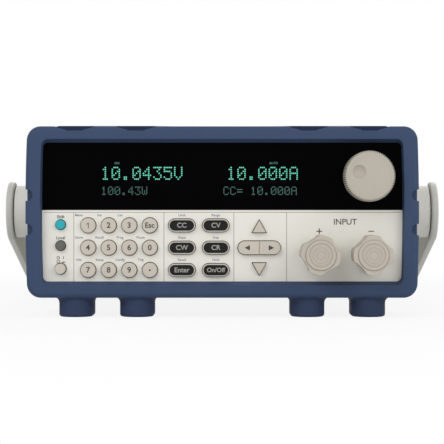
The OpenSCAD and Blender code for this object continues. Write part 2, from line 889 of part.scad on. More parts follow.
module front_panel() {
    color("#cfccc3")
        in_frame()
            difference() {
                union() {
                    plate_y(panel_y, panel_back)
                        case_outline(0);
                    plate_y(panel_back, cover_y)
                        difference() {
                            case_outline(0);
                            case_outline(rim_t);
                        }
                    for (x = boss_x, z = boss_z)
                        rod_y([x, z], panel_back - cut, key_board_front, boss_r);
                }
                block([-case_w, panel_y - cut, window_z], [case_w, panel_y + window_t, case_h]);
                plate_y(panel_y, panel_back + cut)
                    translate([left + aperture_x, aperture_level])
                        square([aperture_w, aperture_h], center = true);
                plate_y(panel_y - cut, panel_back + cut)
                    key_holes();
                rod_y(knob_place, panel_y, panel_back + cut, bush_dia / 2 + fit);
                for (x = terminal_places)
                    rod_y([x, terminal_level], panel_y - cut, panel_back + cut, neck_dia / 2 + fit);
            }
}

module key_holes() {
    for (place = digit_places)
        translate(place)
            circle(digit_dia / 2 + key_gap);
    for (place = pill_places)
        translate(place)
            pill(pill_w + 2 * key_gap, pill_h + 2 * key_gap);
    for (place = [shift_place, local_place])
        translate(place)
            circle(small_dia / 2 + key_gap);
    translate(power_place)
        circle(power_dia / 2 + key_gap);
    translate(arrow_middle)
        pill(arrow_pair_w + 2 * key_gap, arrow_pair_h + 2 * key_gap);
    translate(up_place)
        grown_triangle(arrow_w, arrow_h, key_gap);
    translate(down_place)
        rotate(180)
            grown_triangle(arrow_w, arrow_h, key_gap);
}

module display_window() {
    color("#101112")
        in_frame()
            difference() {
                plate_y(panel_y, panel_y + window_t)
                    intersection() {
                        case_outline(0);
                        translate([-case_w / 2, window_z + fit])
                            square([case_w, case_h]);
                    }
                rod_y(knob_place, panel_y - cut, panel_y + window_t + cut, bush_dia / 2 + fit);
            }
}

module display_module() {
    place = [left + aperture_x, aperture_level];
    board_margin = 3;
    glass_w = aperture_w + 2 * glass_margin;
    glass_h = aperture_h + 2 * glass_margin;
    color("#1d2a2c")
        in_frame()
            translate([place.x, panel_back, place.y]) {
                plate_y(0, glass_t)
                    square([glass_w, glass_h], center = true);
                plate_y(glass_t, glass_t + board_t)
                    square([glass_w + 2 * board_margin, glass_h], center = true);
            }
}

// Stem and collar shared by all sprung keys
module key_stem(place) {
    translate([place.x, 0, place.y])
        plate_y(collar_y, collar_y + collar_t)
            children();
    rod_y(place, collar_y, stem_end, stem_r);
}

// A round key with a softened front edge
module round_cap(place, dia, face) {
    l = collar_y + collar_t - face;
    r = dia / 2;
    turned_y(place, collar_y + collar_t) {
        square([r - key_edge, l]);
        square([r, l - key_edge]);
        translate([r - key_edge, l - key_edge])
            circle(key_edge);
    }
}

module round_key(place, dia) {
    in_frame() {
        round_cap(place, dia, key_face);
        key_stem(place)
            circle(dia / 2 + collar_w);
    }
}

module digit_key(i) {
    color("#bfb7a9")
        round_key(digit_places[i], digit_dia);
}

module key_shift() {
    color("#40a9b3")
        round_key(shift_place, small_dia);
}

module key_local() {
    color("#666662")
        round_key(local_place, small_dia);
}

module pill_key(i) {
    place = pill_places[i];
    color("#3a3a3a")
        in_frame() {
            translate([place.x, 0, place.y]) {
                plate_y(key_face, collar_y)
                    pill(pill_w - 2 * pill_rim, pill_h - 2 * pill_rim);
                plate_y(key_face + pill_step, collar_y)
                    pill(pill_w, pill_h);
            }
            key_stem(place)
                pill(pill_w + 2 * collar_w, pill_h + 2 * collar_w);
        }
}

// One upright arrow key, pointing up or turned to point down
module upright_arrow(place, turn) {
    color("#c6c0b4")
        in_frame() {
            translate([place.x, 0, place.y])
                plate_y(key_face, collar_y)
                    rotate(turn)
                        triangle(arrow_w, arrow_h);
            key_stem(place)
                circle(max(arrow_w, arrow_h) / 2 + 1.5 * collar_w);
        }
}

module key_up() {
    upright_arrow(up_place, 0);
}

module key_down() {
    upright_arrow(down_place, 180);
}

// One half of a pill as wide as the pair, on the left or the right of the slit
module half_pill(side, grow) {
    intersection() {
        pill(arrow_pair_w + 2 * grow, arrow_pair_h + 2 * grow);
        translate([side < 0 ? -arrow_pair_w : arrow_slit / 2, -arrow_pair_h])
            square([arrow_pair_w - arrow_slit / 2, 2 * arrow_pair_h]);
    }
}

module side_arrow(side, place) {
    color("#c6c0b4")
        in_frame() {
            translate([arrow_middle.x, 0, arrow_middle.y]) {
                plate_y(key_face, collar_y)
                    half_pill(side, 0);
                plate_y(collar_y, collar_y + collar_t)
                    half_pill(side, collar_w);
            }
            rod_y(place, collar_y, stem_end, stem_r);
        }
}

module key_left() {
    side_arrow(-1, side_places[0]);
}

module key_right() {
    side_arrow(1, side_places[1]);
}

module key_board() {
    color("#2f6b46")
        in_frame()
            difference() {
                union() {
                    block([key_board_left, key_board_front, key_board_low],
                        [key_board_right, key_board_front + board_t, key_board_high]);
                    for (place = tact_places) {
                        translate([place.x, 0, place.y])
                            plate_y(tact_face, key_board_front)
                                square(tact_w, center = true);
                        rod_y(place, plunger_y, key_board_front, stem_r);
                    }
                }
                rod_y(power_place, key_board_front - cut, key_board_front + board_t + cut, 0.75 * rod_dia);
            }
}

// Button with a rod that runs back into the mains switch
module power_button() {
    color("#c3bdb3")
        in_frame() {
            round_cap(power_place, power_dia, panel_y - power_proud);
            rod_y(power_place, collar_y, collar_y + collar_t, power_dia / 2 + collar_w);
            rod_y(power_place, collar_y, rod_end, rod_dia / 2);
        }
}

module power_switch() {
    front = panel_back + switch_y;
    color("#2b2b2d")
        in_frame()
            difference() {
                block([power_place.x - switch_w / 2, front, floor_z],
                    [power_place.x + switch_w / 2, front + switch_l, power_place.y + switch_w / 2]);
                rod_y(power_place, front - cut, rod_end + power_travel + end_gap, rod_dia / 2 + run);
            }
}

module adjust_knob() {
    r = knob_dia / 2;
    color("#bab2a8")
        in_frame()
            difference() {
                turned_y(knob_place, knob_back) {
                    square([r - knob_edge, knob_l]);
                    square([r, knob_l - knob_edge]);
                    translate([r - knob_edge, knob_l - knob_edge])
                        circle(knob_edge);
                }
                rod_y(knob_place, shaft_front, knob_back + cut, shaft_dia / 2 + run);
                translate([knob_place.x + dimple_place.x, knob_front + dimple_d - dimple_ball,
                    knob_place.y + dimple_place.y])
                    sphere(r = dimple_ball);
            }
}

module encoder_shaft() {
    color("#b8babc")
        in_frame()
            rod_y(knob_place, shaft_front + end_gap, encoder_back - encoder_wall - end_gap, shaft_dia / 2);
}

module encoder_body() {
    color("#8f9296")
        in_frame()
            difference() {
                union() {
                    translate([knob_place.x, 0, knob_place.y])
                        plate_y(panel_back, encoder_back)
                            square(encoder_w, center = true);
                    rod_y(knob_place, panel_y, panel_back, bush_dia / 2);
                }
                rod_y(knob_place, panel_y - cut, encoder_back - encoder_wall, shaft_dia / 2 + run);
            }
}

// Flange in front of the panel and neck through it, round each stud
module terminal_insulators() {
    color("#d2cec4")
        in_frame()
            for (x = terminal_places)
                difference() {
                    union() {
                        rod_y([x, terminal_level], insulator_front, panel_y, insulator_dia / 2);
                        rod_y([x, terminal_level], insulator_front, panel_back, neck_dia / 2);
                    }
                    rod_y([x, terminal_level], insulator_front - cut, panel_back + cut, stud_dia / 2 + run);
                }
}

// Threaded studs with the nuts that clamp the panel and the copper bars
module terminal_studs() {
    color("#c7a65a")
        in_frame()
            for (x = terminal_places) {
                rod_y([x, terminal_level], terminal_front + terminal_cap_t + end_gap,
                    bar_y + bar_t + nut_t + stud_tail, stud_dia / 2);
                for (y = [panel_back, bar_y + bar_t])
                    translate([x, y, terminal_level])
                        rotate([-90, 0, 0])
                            cylinder(h = nut_t, d = nut_dia, $fn = 6);
            }
}

module terminal_washer(i) {
    color("#c9b27a")
        in_frame()
            difference() {
                rod_y([terminal_places[i], terminal_level], washer_front, insulator_front, washer_dia / 2);
                rod_y([terminal_places[i], terminal_level], washer_front - cut, insulator_front + cut,
                    stud_dia / 2 + run);
            }
}

// Lobed thumb knob with a ringed disc on its front
module terminal_knob(i) {
    r = terminal_dia / 2;
    place = [terminal_places[i], terminal_level];
    ring_r = disc_dia / 2 - 3 * ring_w;
    color("#b8b0a4")
        in_frame()
            difference() {
                union() {
                    translate([place.x, 0, place.y])
                        plate_y(terminal_front + disc_t, knob_base)
                            rotate(lobe_turn[i])
                                difference() {
                                    circle(r);
                                    for (turn = [45 : 90 : 315])
                                        rotate(turn)
                                            translate([r - flute_d + flute_r, 0])
                                                circle(flute_r);
                                }
                    rod_y(place, terminal_front, knob_base, disc_dia / 2);
                }
                rod_y(place, terminal_front + terminal_cap_t, knob_base + cut, stud_dia / 2 + run);
                turned_y(place, terminal_front + ring_d)
                    translate([ring_r, 0])
                        square([ring_w, ring_d + cut]);
            }
}

// Copper straps from the studs down and back to the power board
module bus_bars() {
    color("#b87333")
        in_frame()
            for (x = terminal_places)
                difference() {
                    union() {
                        block([x - bar_w / 2, bar_y, board_top],
                            [x + bar_w / 2, bar_y + bar_t, terminal_level + bar_w / 2]);
                        block([x - bar_w / 2, bar_y, board_top],
                            [x + bar_w / 2, power_board_front + bar_lap, board_top + bar_t]);
                    }
                    rod_y([x, terminal_level], bar_y - cut, bar_y + bar_t + cut, stud_dia / 2 + run);
                }
}

module power_board() {
    color("#2f6b46")
        in_frame()
            block([fan_place - power_board_w / 2, power_board_front, board_z],
                [fan_place + power_board_w / 2, sink_back, board_top]);
}

// Two rows of power transistors clamped between the board and the heat sink
module power_transistors() {
    pitch = (sink_back - sink_front) / transistor_n;
    color("#1c1c1e")
        in_frame()
            for (side = [-1, 1], i = [0 : transistor_n - 1])
                translate([fan_place + side * power_board_w / 4, sink_front + (i + 0.5) * pitch, board_top])
                    translate([-transistor_w / 2, -transistor_l / 2, 0])
                        cube([transistor_w, transistor_l, transistor_h]);
}

// Extruded heat sink that bridges the power board on two legs
module heat_sink() {
    fin_pitch = (sink_w - fin_t) / (fin_n - 1);
    color("#a9adb1")
        in_frame()
            translate([fan_place, 0, 0])
                plate_y(sink_front, sink_back) {
                    translate([-sink_w / 2, sink_low])
                        square([sink_w, sink_base_t]);
                    for (x = [-sink_w / 2, sink_w / 2 - sink_leg_t])
                        translate([x, floor_z])
                            square([sink_leg_t, sink_low + sink_base_t - floor_z]);
                    for (i = [0 : fin_n - 1])
                        translate([i * fin_pitch - sink_w / 2, sink_low])
                            square([fin_t, sink_base_t + fin_h]);
                }
}

module fan_screw_places() {
    for (x = [-1, 1], z = [-1, 1])
        translate([fan_place + x * fan_screw_pitch / 2, 0, z * fan_screw_pitch / 2])
            children();
}

module fan_frame() {
    color("#26272a")
        in_frame()
            difference() {
                union() {
                    translate([fan_place, 0, 0])
                        plate_y(fan_y, rear_y)
                            difference() {
                                rounded_rect(fan_w, fan_w, fan_corner_r);
                                circle(fan_hole_r);
                            }
                    translate([fan_place, 0, 0])
                        plate_y(rear_y - fan_base_t, rear_y) {
                            circle(motor_r);
                            for (turn = [45, 135])
                                rotate(turn)
                                    square([2 * (fan_hole_r + cut), strut_w], center = true);
                        }
                }
                fan_screw_places()
                    rod_y([0, 0], fan_y - cut, rear_y + cut, fan_screw_r + fit);
                rod_y([fan_place, 0], rear_y - fan_base_t - cut, rear_y + cut, fan_axle_r + run);
            }
}

// Hub with pitched blades on an axle that turns in the fan frame
module fan_rotor() {
    front = fan_y + rotor_inset;
    back = rear_y - fan_base_t - end_gap;
    depth = back - front;
    color("#303236")
        in_frame()
            translate([fan_place, 0, 0]) {
                rod_y([0, 0], front, back, rotor_r);
                rod_y([0, 0], back - cut, rear_y - end_gap, fan_axle_r);
                intersection() {
                    rod_y([0, 0], front + blade_gap, back - blade_gap, fan_hole_r - blade_gap);
                    for (i = [0 : blade_n - 1])
                        rotate([0, i * 360 / blade_n, 0])
                            translate([0, (front + back) / 2, 0])
                                rotate([0, 0, blade_angle])
                                    block([-blade_t / 2, -depth, motor_r], [blade_t / 2, depth, fan_hole_r]);
                }
            }
}

module rear_panel() {
    color("#b3b6b8")
        in_frame()
            difference() {
                block([-tray_w / 2, rear_y, floor_z], [tray_w / 2, case_back, ceiling_z - fit]);
                plate_y(rear_y - cut, case_back + cut) {
                    fan_grille();
                    translate([inlet_place, inlet_z])
                        square(inlet_body, center = true);
                    translate([serial_place, port_z])
                        square([serial_shell_w, serial_shell_h] + [2, 2] * fit, center = true);
                    translate([usb_place, port_z])
                        square([usb_w, usb_h] + [2, 2] * fit, center = true);
                    translate([sense_place, sense_z])
                        square([sense_w, sense_h] + [2, 2] * fit, center = true);
                }
                fan_screw_places()
                    rod_y([0, 0], rear_y - cut, case_back + cut, fan_screw_r + fit);
            }
}

// Rings of arc slots with crossed spokes left between them
module fan_grille() {
    ring_n = floor((fan_hole_r - grille_hub) / grille_pitch);
    translate([fan_place, 0])
        difference() {
            for (i = [0 : ring_n - 1])
                difference() {
                    circle(grille_hub + i * grille_pitch + grille_slot);
                    circle(grille_hub + i * grille_pitch);
                }
            for (turn = [0, 90])
                rotate(turn)
                    square([2 * fan_w, grille_spoke], center = true);
        }
}

// Recessed mains inlet with three pins over a fuse drawer
module mains_inlet() {
    socket = [inlet_body.x - 2.4, 16.6];
    half = socket / 2;
    socket_z = inlet_body.y / 2 - half.y - 1;
    corner = 5;
    drawer_inset = 2.5;
    drawer_h = 8;
    drawer = [inlet_body.x - 2 * drawer_inset, drawer_h];
    drawer_z = 1 + drawer.y / 2 - inlet_body.y / 2;
    groove = 0.6;
    depth = 16;
    pin = [2, 4];
    pin_front = 6;
    back = case_back + inlet_flange_t;
    color("#1f1f21")
        in_frame()
            translate([inlet_place, 0, inlet_z]) {
                difference() {
                    union() {
                        plate_y(case_back, back)
                            rounded_rect(inlet_w, inlet_h, 3);
                        plate_y(rear_y - inlet_d, back)
                            square(inlet_body - [2, 2] * fit, center = true);
                    }
                    plate_y(back - depth, back + cut)
                        translate([0, socket_z])
                            polygon([[-half.x, -half.y], [half.x, -half.y], [half.x, half.y - corner],
                                [half.x - corner, half.y], [corner - half.x, half.y],
                                [-half.x, half.y - corner]]);
                    plate_y(back - groove, back + cut)
                        translate([0, drawer_z])
                            difference() {
                                square(drawer, center = true);
                                square(drawer - [2, 2] * groove, center = true);
                            }
                }
                for (x = [-1, 0, 1])
                    plate_y(back - depth - cut, back - pin_front)
                        translate([x * 7, socket_z + (x == 0 ? 2 : -2)])
                            square(pin, center = true);
            }
}

// Nine-way serial socket and a square data socket
module data_ports() {
    flange_t = 1;
    serial_reach = 5;
    serial_tail = 8;
    shell_t = 0.6;
    usb_tail = 14;
    usb_depth = 8;
    usb_wall = 1.2;
    tongue_w = 5.6;
    tongue_h = 3.2;
    color("#9da1a6")
        in_frame() {
            translate([serial_place, 0, port_z])
                difference() {
                    union() {
                        plate_y(case_back, case_back + flange_t)
                            rounded_rect(serial_w, serial_h, serial_corner);
                        plate_y(rear_y - serial_tail, case_back + serial_reach)
                            serial_outline(0);
                    }
                    plate_y(case_back, case_back + serial_reach + cut)
                        serial_outline(shell_t);
                }
            translate([usb_place, 0, port_z])
                difference() {
                    plate_y(rear_y - usb_tail, case_back + shell_t)
                        square([usb_w, usb_h], center = true);
                    plate_y(case_back - usb_depth, case_back + shell_t + cut)
                        difference() {
                            square([usb_w, usb_h] - [2, 2] * usb_wall, center = true);
                            square([tongue_w, tongue_h], center = true);
                        }
                }
        }
}

// Trapezoid outline of the serial socket's shell
module serial_outline(inset) {
    w = serial_shell_w / 2 - inset;
    h = serial_shell_h / 2 - inset;
    lean = h / 3;
    polygon([[-w, h], [w, h], [w - lean, -h], [lean - w, -h]]);
}

// Plug-in strip for the sense and control wires
module sense_block() {
    end_wall = 1;
    pitch = (sense_w - 2 * end_wall) / sense_n;
    tail = 10;
    reach = 2;
    depth = 6;
    wall = 1.2;
    color("#3f7d4e")
        in_frame()
            translate([sense_place, 0, sense_z])
                difference() {
                    plate_y(rear_y - tail, case_back + reach)
                        square([sense_w, sense_h], center = true);
                    for (i = [0 : sense_n - 1])
                        translate([(i - (sense_n - 1) / 2) * pitch, 0, 0])
                            plate_y(case_back - depth, case_back + reach + cut)
                                square([pitch - wall, sense_h - 2 * wall], center = true);
                }
}

module transformer() {
    coil = 9;
    coil_lift = 6;
    core_h = transformer_h - coil_lift;
    color("#6f6a5c")
        in_frame()
            translate([transformer_place, transformer_end - transformer_l, floor_z]) {
                translate([-transformer_w / 2, 0, 0])
                    cube([transformer_w, transformer_l, core_h]);
                translate([-transformer_w / 2 + coil, -coil, coil_lift])
                    cube([transformer_w - 2 * coil, transformer_l + 2 * coil, core_h]);
            }
}

// Control board with its processor, converter blocks and capacitors
module control_board() {
    front = panel_back + control_y;
    chip_w = 20;
    chip_h = 2;
    converter_w = 12;
    converter_l = 28;
    converter_h = 8;
    capacitor_r = 7;
    capacitor_h = 22;
    color("#2f6b46")
        in_frame()
            translate([control_place, front, board_z]) {
                cube([control_w, control_l, board_t]);
                translate([chip_w, chip_w, 0])
                    cube([chip_w, chip_w, board_t + chip_h]);
                for (i = [0, 1])
                    translate([control_w / 2 + 1.5 * i * converter_w, chip_w, 0])
                        cube([converter_w, converter_l, board_t + converter_h]);
                for (i = [1 : 3])
                    translate([3 * i * capacitor_r, control_l - 3 * capacitor_r, 0])
                        cylinder(h = board_t + capacitor_h, r = capacitor_r);
            }
}

// Hub profile along the pivot: spigot in the case, base, drum and pivot pin
module handle_hub() {
    translate([hub_x, pivot_y, 0])
        rotate([0, 90, 0])
            rotate_extrude()
                polygon([[0, -sheet_t], [spigot_r, -sheet_t], [spigot_r, 0], [hub_base_dia / 2, 0],
                    [hub_base_dia / 2, hub_base_t], [hub_dia / 2, hub_base_t], [hub_dia / 2, hub_l],
                    [pivot_dia / 2, hub_l], [pivot_dia / 2, hub_l + arm_gap + pivot_l],
                    [0, hub_l + arm_gap + pivot_l]]);
}

module handle_hubs() {
    color("#bab9b4")
        in_frame()
            for (side = [0, 1])
                mirror([side, 0, 0])
                    handle_hub();
}

// Turns the handle about its pivot to where it lies folded
module folded() {
    translate([0, pivot_y, 0])
        rotate([-fold_angle, 0, 0])
            children();
}

// A disc round the pivot that tapers to the end of the grip
module arm_outline() {
    lean = acos((arm_r - arm_end_r) / handle_l);
    circle(arm_r);
    translate([handle_l, 0])
        circle(arm_end_r);
    polygon([[arm_r * cos(lean), arm_r * sin(lean)], [arm_r * cos(lean), -arm_r * sin(lean)],
        [handle_l + arm_end_r * cos(lean), -arm_end_r * sin(lean)],
        [handle_l + arm_end_r * cos(lean), arm_end_r * sin(lean)]]);
}

module handle_arm() {
    difference() {
        translate([arm_x, 0, 0])
            rotate([90, 0, 90])
                linear_extrude(height = arm_t)
                    arm_outline();
        rod_x(arm_x - cut, arm_x + pivot_l + end_gap, pivot_dia / 2 + run);
    }
}

module handle_arm_right() {
    color("#d0d1ca")
        in_frame()
            folded()
                handle_arm();
}

module handle_arm_left() {
    color("#d0d1ca")
        in_frame()
            folded()
                mirror([1, 0, 0])
                    handle_arm();
}

module handle_grip() {
    color("#d0d1ca")
        in_frame()
            folded()
                translate([0, handle_l, 0])
                    rod_x(-arm_x, arm_x, grip_dia / 2);
}

// Fan screws through the rear panel and side screws through the cover into the tray
module case_screws() {
    color("#8d9094")
        in_frame() {
            fan_screw_places() {
                rod_y([0, 0], case_back, case_back + screw_head_t, rear_screw_head_r);
                rod_y([0, 0], rear_y - fan_screw_l, case_back, fan_screw_r);
            }
            for (side = [0, 1], y = side_screw_y)
                mirror([side, 0, 0])
                    translate([0, y, side_screw_z]) {
                        rod_x(case_w / 2, case_w / 2 + screw_head_t, 2 * side_screw_r);
                        rod_x(tray_w / 2 - sheet_t - 1, case_w / 2, side_screw_r);
                    }
        }
}

chassis_tray();
case_cover();
front_panel();
display_window();
display_module();
front_bumper();
rear_bumper();
rear_panel();
handle_hubs();
handle_arm_left();
handle_arm_right();
handle_grip();
key_board();
encoder_body();
encoder_shaft();
adjust_knob();
terminal_insulators();
terminal_studs();
bus_bars();
heat_sink();
power_board();
power_transistors();
fan_frame();
fan_rotor();
transformer();
control_board();
mains_inlet();
data_ports();
sense_block();
power_switch();
power_button();
case_screws();
key_shift();
key_local();
key_up();
key_down();
key_left();
key_right();
for (i = [0 : len(DIGIT_KEYS) - 1])
    digit_key(i);
for (i = [0 : len(PILL_KEYS) - 1])
    pill_key(i);
for (i = [0 : len(TERMINALS) - 1]) {
    terminal_knob(i);
    terminal_washer(i);
}
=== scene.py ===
"""Looks of a bench DC electronic load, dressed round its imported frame.

Every piece is made in the frame's own coordinates, in metres: X to the right, Y to the back, Z up.
"""

import json
import logging
import math
from collections.abc import Callable, Iterable, Sequence
from dataclasses import dataclass, field
from enum import Enum

import bmesh
import bpy
from mathutils import Matrix, Vector


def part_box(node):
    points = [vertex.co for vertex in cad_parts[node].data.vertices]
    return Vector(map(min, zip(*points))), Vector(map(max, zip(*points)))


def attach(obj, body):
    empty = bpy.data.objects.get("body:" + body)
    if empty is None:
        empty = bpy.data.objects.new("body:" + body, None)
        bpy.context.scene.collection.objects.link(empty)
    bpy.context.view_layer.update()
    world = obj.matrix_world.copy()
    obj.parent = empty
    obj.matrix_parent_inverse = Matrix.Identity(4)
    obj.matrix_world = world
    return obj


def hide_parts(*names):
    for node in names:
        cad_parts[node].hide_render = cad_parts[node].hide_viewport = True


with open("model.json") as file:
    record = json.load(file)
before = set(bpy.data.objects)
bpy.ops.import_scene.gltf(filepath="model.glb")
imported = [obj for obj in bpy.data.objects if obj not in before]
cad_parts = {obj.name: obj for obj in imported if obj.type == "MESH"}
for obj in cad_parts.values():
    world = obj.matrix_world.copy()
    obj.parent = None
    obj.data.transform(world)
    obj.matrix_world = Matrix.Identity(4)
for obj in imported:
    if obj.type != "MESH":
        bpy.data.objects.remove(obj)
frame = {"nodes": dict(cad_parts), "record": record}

LOG = logging.getLogger("electronic_load")
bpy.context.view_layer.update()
MM = 0.001
FRONT = Vector((0, -1, 0))
BACK = Vector((0, 1, 0))
UP = Vector((0, 0, 1))

# Points nearer than this are one point, and points nearer to a cutting plane than this lie on it
WELD = 0.002 * MM
CUT_SLACK = 0.01 * MM

# Greatest bend in a flat face, and least bend of an edge to round, in radians
FLAT_ANGLE = math.radians(0.5)
EDGE_ANGLE = math.radians(35)

# Least angle of a sharp edge on fine ribs and rings, in degrees
FINE_ANGLE = 50

# Sockets of the two colours and of the result in a Mix node
MIX_FIRST, MIX_SECOND, MIX_RESULT = 6, 7, 2

# Depth of printed marks, shares of the font's size for a capital letter and a stroke's thickening, and the
# number of steps in a curve
INK_DEPTH = 0.08 * MM
CAP_SHARE = 0.73
STROKE_SHARE = 0.016
FONT_STEPS = 4

Colour = tuple[int, int, int]
Facing = tuple[Vector, Vector]
Box = tuple[Vector, Vector]
MATERIALS: dict[str, bpy.types.Material] = {}


class Grain(Enum):
    """Fine relief that a surface has from the way it was made."""

    SPARK = "eroded mould"
    PEEL = "powder coat"
    BRUSHED = "brushed metal"
    SMOOTH = "polished"


# Number of finer layers in the noise of the colour and of the relief
CLOUD_DETAIL = 4
GRAIN_DETAIL = {Grain.SPARK: 3, Grain.PEEL: 1, Grain.BRUSHED: 3}


@dataclass(frozen=True)
class Finish:
    """One surface finish: its colour as it looks, its gloss and its fine relief.

    Grain sizes are in metres, mottle is the share by which the colour varies, and gloss_spread is how far the
    roughness varies with it.
    """

    name: str
    colour: Colour
    roughness: float = 0.5
    grain: Grain = Grain.SPARK
    grain_size: float = 0.5 * MM
    grain_depth: float = 0.02 * MM
    mottle: float = 0.05
    mottle_size: float = 9 * MM
    metallic: float = 0.0
    specular: float = 0.5
    glow: float = 0.0
    gloss_spread: float = 0.08
    bump: float = 0.6
    brush_stretch: float = 0.04

    def linear(self, gain: float = 1.0) -> tuple[float, float, float, float]:
        """Gives the colour in linear light, by the sRGB curve.

        Args:
            gain: Factor on the brightness.

        Returns:
            Red, green, blue and alpha.
        """
        shares = [channel / 255 for channel in self.colour]
        light = [s / 12.92 if s <= 0.04045 else ((s + 0.055) / 1.055) ** 2.4 for s in shares]
        return (*(gain * value for value in light), 1.0)

    def material(self) -> bpy.types.Material:
        """Builds the finish as a node material, once.

        Returns:
            The material, which all pieces of this finish share.
        """
        if self.name in MATERIALS:
            return MATERIALS[self.name]
        material = bpy.data.materials.new(f"finish.{self.name}")
        MATERIALS[self.name] = material
        material.use_nodes = True
        material.diffuse_color = self.linear()
        tree = material.node_tree
        shader = tree.nodes["Principled BSDF"]
        shader.inputs["Metallic"].default_value = self.metallic
        shader.inputs["Specular IOR Level"].default_value = self.specular
        place = tree.nodes.new("ShaderNodeTexCoord").outputs["Object"]
        self._colour_nodes(tree, shader, place)
        self._relief_nodes(tree, shader, place)
        if self.glow:
            shader.inputs["Emission Color"].default_value = self.linear()
            shader.inputs["Emission Strength"].default_value = self.glow
        return material

    def _colour_nodes(self, tree: bpy.types.NodeTree, shader: bpy.types.Node,
                      place: bpy.types.NodeSocket) -> None:
        """Varies the colour and the gloss over the surface.

        Args:
            tree: Node tree of the material.
            shader: Its shader node.
            place: Socket with the place on the piece.
        """
        cloud = tree.nodes.new("ShaderNodeTexNoise")
        cloud.inputs["Scale"].default_value = 1 / self.mottle_size
        cloud.inputs["Detail"].default_value = CLOUD_DETAIL
        tree.links.new(place, cloud.inputs["Vector"])
        tint = tree.nodes.new("ShaderNodeMix")
        tint.data_type = "RGBA"
        tint.inputs[MIX_FIRST].default_value = self.linear(1 - self.mottle)
        tint.inputs[MIX_SECOND].default_value = self.linear(1 + self.mottle)
        tree.links.new(cloud.outputs[0], tint.inputs[0])
        tree.links.new(tint.outputs[MIX_RESULT], shader.inputs["Base Color"])
        gloss = tree.nodes.new("ShaderNodeMapRange")
        gloss.inputs["To Min"].default_value = self.roughness - self.gloss_spread
        gloss.inputs["To Max"].default_value = self.roughness + self.gloss_spread
        tree.links.new(cloud.outputs[0], gloss.inputs["Value"])
        tree.links.new(gloss.outputs["Result"], shader.inputs["Roughness"])

    def _relief_nodes(self, tree: bpy.types.NodeTree, shader: bpy.types.Node,
                      place: bpy.types.NodeSocket) -> None:
        """Raises the fine grain.

        Args:
            tree: Node tree of the material.
            shader: Its shader node.
            place: Socket with the place on the piece.
        """
        if self.grain is Grain.SMOOTH:
            return
        grain = tree.nodes.new("ShaderNodeTexNoise")
        grain.inputs["Scale"].default_value = 1 / self.grain_size
        grain.inputs["Detail"].default_value = GRAIN_DETAIL[self.grain]
        if self.grain is Grain.BRUSHED:
            stretch = tree.nodes.new("ShaderNodeMapping")
            stretch.inputs["Scale"].default_value = (self.brush_stretch, 1, 1)
            tree.links.new(place, stretch.inputs["Vector"])
            place = stretch.outputs["Vector"]
        tree.links.new(place, grain.inputs["Vector"])
        bump = tree.nodes.new("ShaderNodeBump")
        bump.inputs["Strength"].default_value = self.bump
        bump.inputs["Distance"].default_value = self.grain_depth
        tree.links.new(grain.outputs[0], bump.inputs["Height"])
        tree.links.new(bump.outputs["Normal"], shader.inputs["Normal"])


RUBBER_GRAIN = {"grain_size": 0.7 * MM, "grain_depth": 0.05 * MM}
RUBBER = Finish("blue_elastomer", (58, 73, 101), 0.56, specular=0.12, **RUBBER_GRAIN)
# The feet are a darker copy of the bumper rubber: painted shade under the bumper.
FOOT_SHADE = Finish("foot_painted_shade", (52, 63, 89), 0.62, specular=0.1, **RUBBER_GRAIN)
# The front of the stop rib is a darker copy of the bumper rubber: painted shade in the pockets.
RIB_FRONT_SHADE = Finish("rib_front_painted_shade", (42, 53, 80), 0.62, specular=0.1, **RUBBER_GRAIN)
PANEL = Finish("panel_plastic", (226, 224, 216), 0.52, mottle=0.02, specular=0.3)
WINDOW = Finish("window_acrylic", (3, 3, 4), 0.1, Grain.SMOOTH, specular=0.012)
GLASS = Finish("display_glass", (28, 36, 38), 0.12, Grain.SMOOTH)
PAINT = Finish("case_paint", (201, 200, 194), 0.45, Grain.PEEL, 1.1 * MM, 0.04 * MM, mottle=0.02)
STEEL = Finish("tray_steel", (178, 181, 184), 0.34, Grain.BRUSHED, metallic=1.0)
REAR = Finish("rear_paint", (186, 188, 188), 0.45, Grain.PEEL, 1.1 * MM, 0.04 * MM, mottle=0.02)
# The handle's plastic painted lighter for the hubs, against the shade they sit in: painted light.
HUB_LIT = Finish("hub_plastic", (227, 226, 220), 0.5, mottle=0.02)
HANDLE = Finish("handle_plastic", (198, 198, 191), 0.48, mottle=0.02, specular=0.3)
KNOB = Finish("knob_plastic", (178, 171, 160), 0.5, mottle=0.03, specular=0.25)
# Lighter copy of the knob plastic for the ribs: painted highlight on their crests.
RIB_HIGHLIGHT = Finish("knob_ribs", (206, 200, 187), 0.5, mottle=0.03, specular=0.25)
# Darker copy of the knob plastic for the rim between the ribs: painted shade in the valleys.
VALLEY_SHADE = Finish("knob_valley_painted_shade", (110, 102, 91), 0.6, mottle=0.03, specular=0.15)
# Slightly darker copy of the knob plastic in the finger dimple: painted shade.
DIMPLE_SHADE = Finish("knob_dimple_painted_shade", (172, 165, 153), 0.45, mottle=0.03, specular=0.25)
TERMINAL = Finish("terminal_plastic", (185, 177, 165), 0.46, mottle=0.03, specular=0.25)
# Darker copy of the terminal plastic for the rings on its face: painted shade.
RING_SHADE = Finish("terminal_rings_painted_shade", (176, 168, 155), 0.5, mottle=0.03, specular=0.2)
KEY = Finish("key_plastic", (196, 188, 176), 0.55, mottle=0.03, specular=0.25)
RIM = Finish("key_rim", (194, 190, 180), 0.5, mottle=0.03, specular=0.25)
FUNCTION = Finish("function_plastic", (26, 25, 25), 0.42, mottle=0.08, specular=0.15)
SHIFT = Finish("shift_plastic", (44, 166, 176), 0.45, specular=0.2)
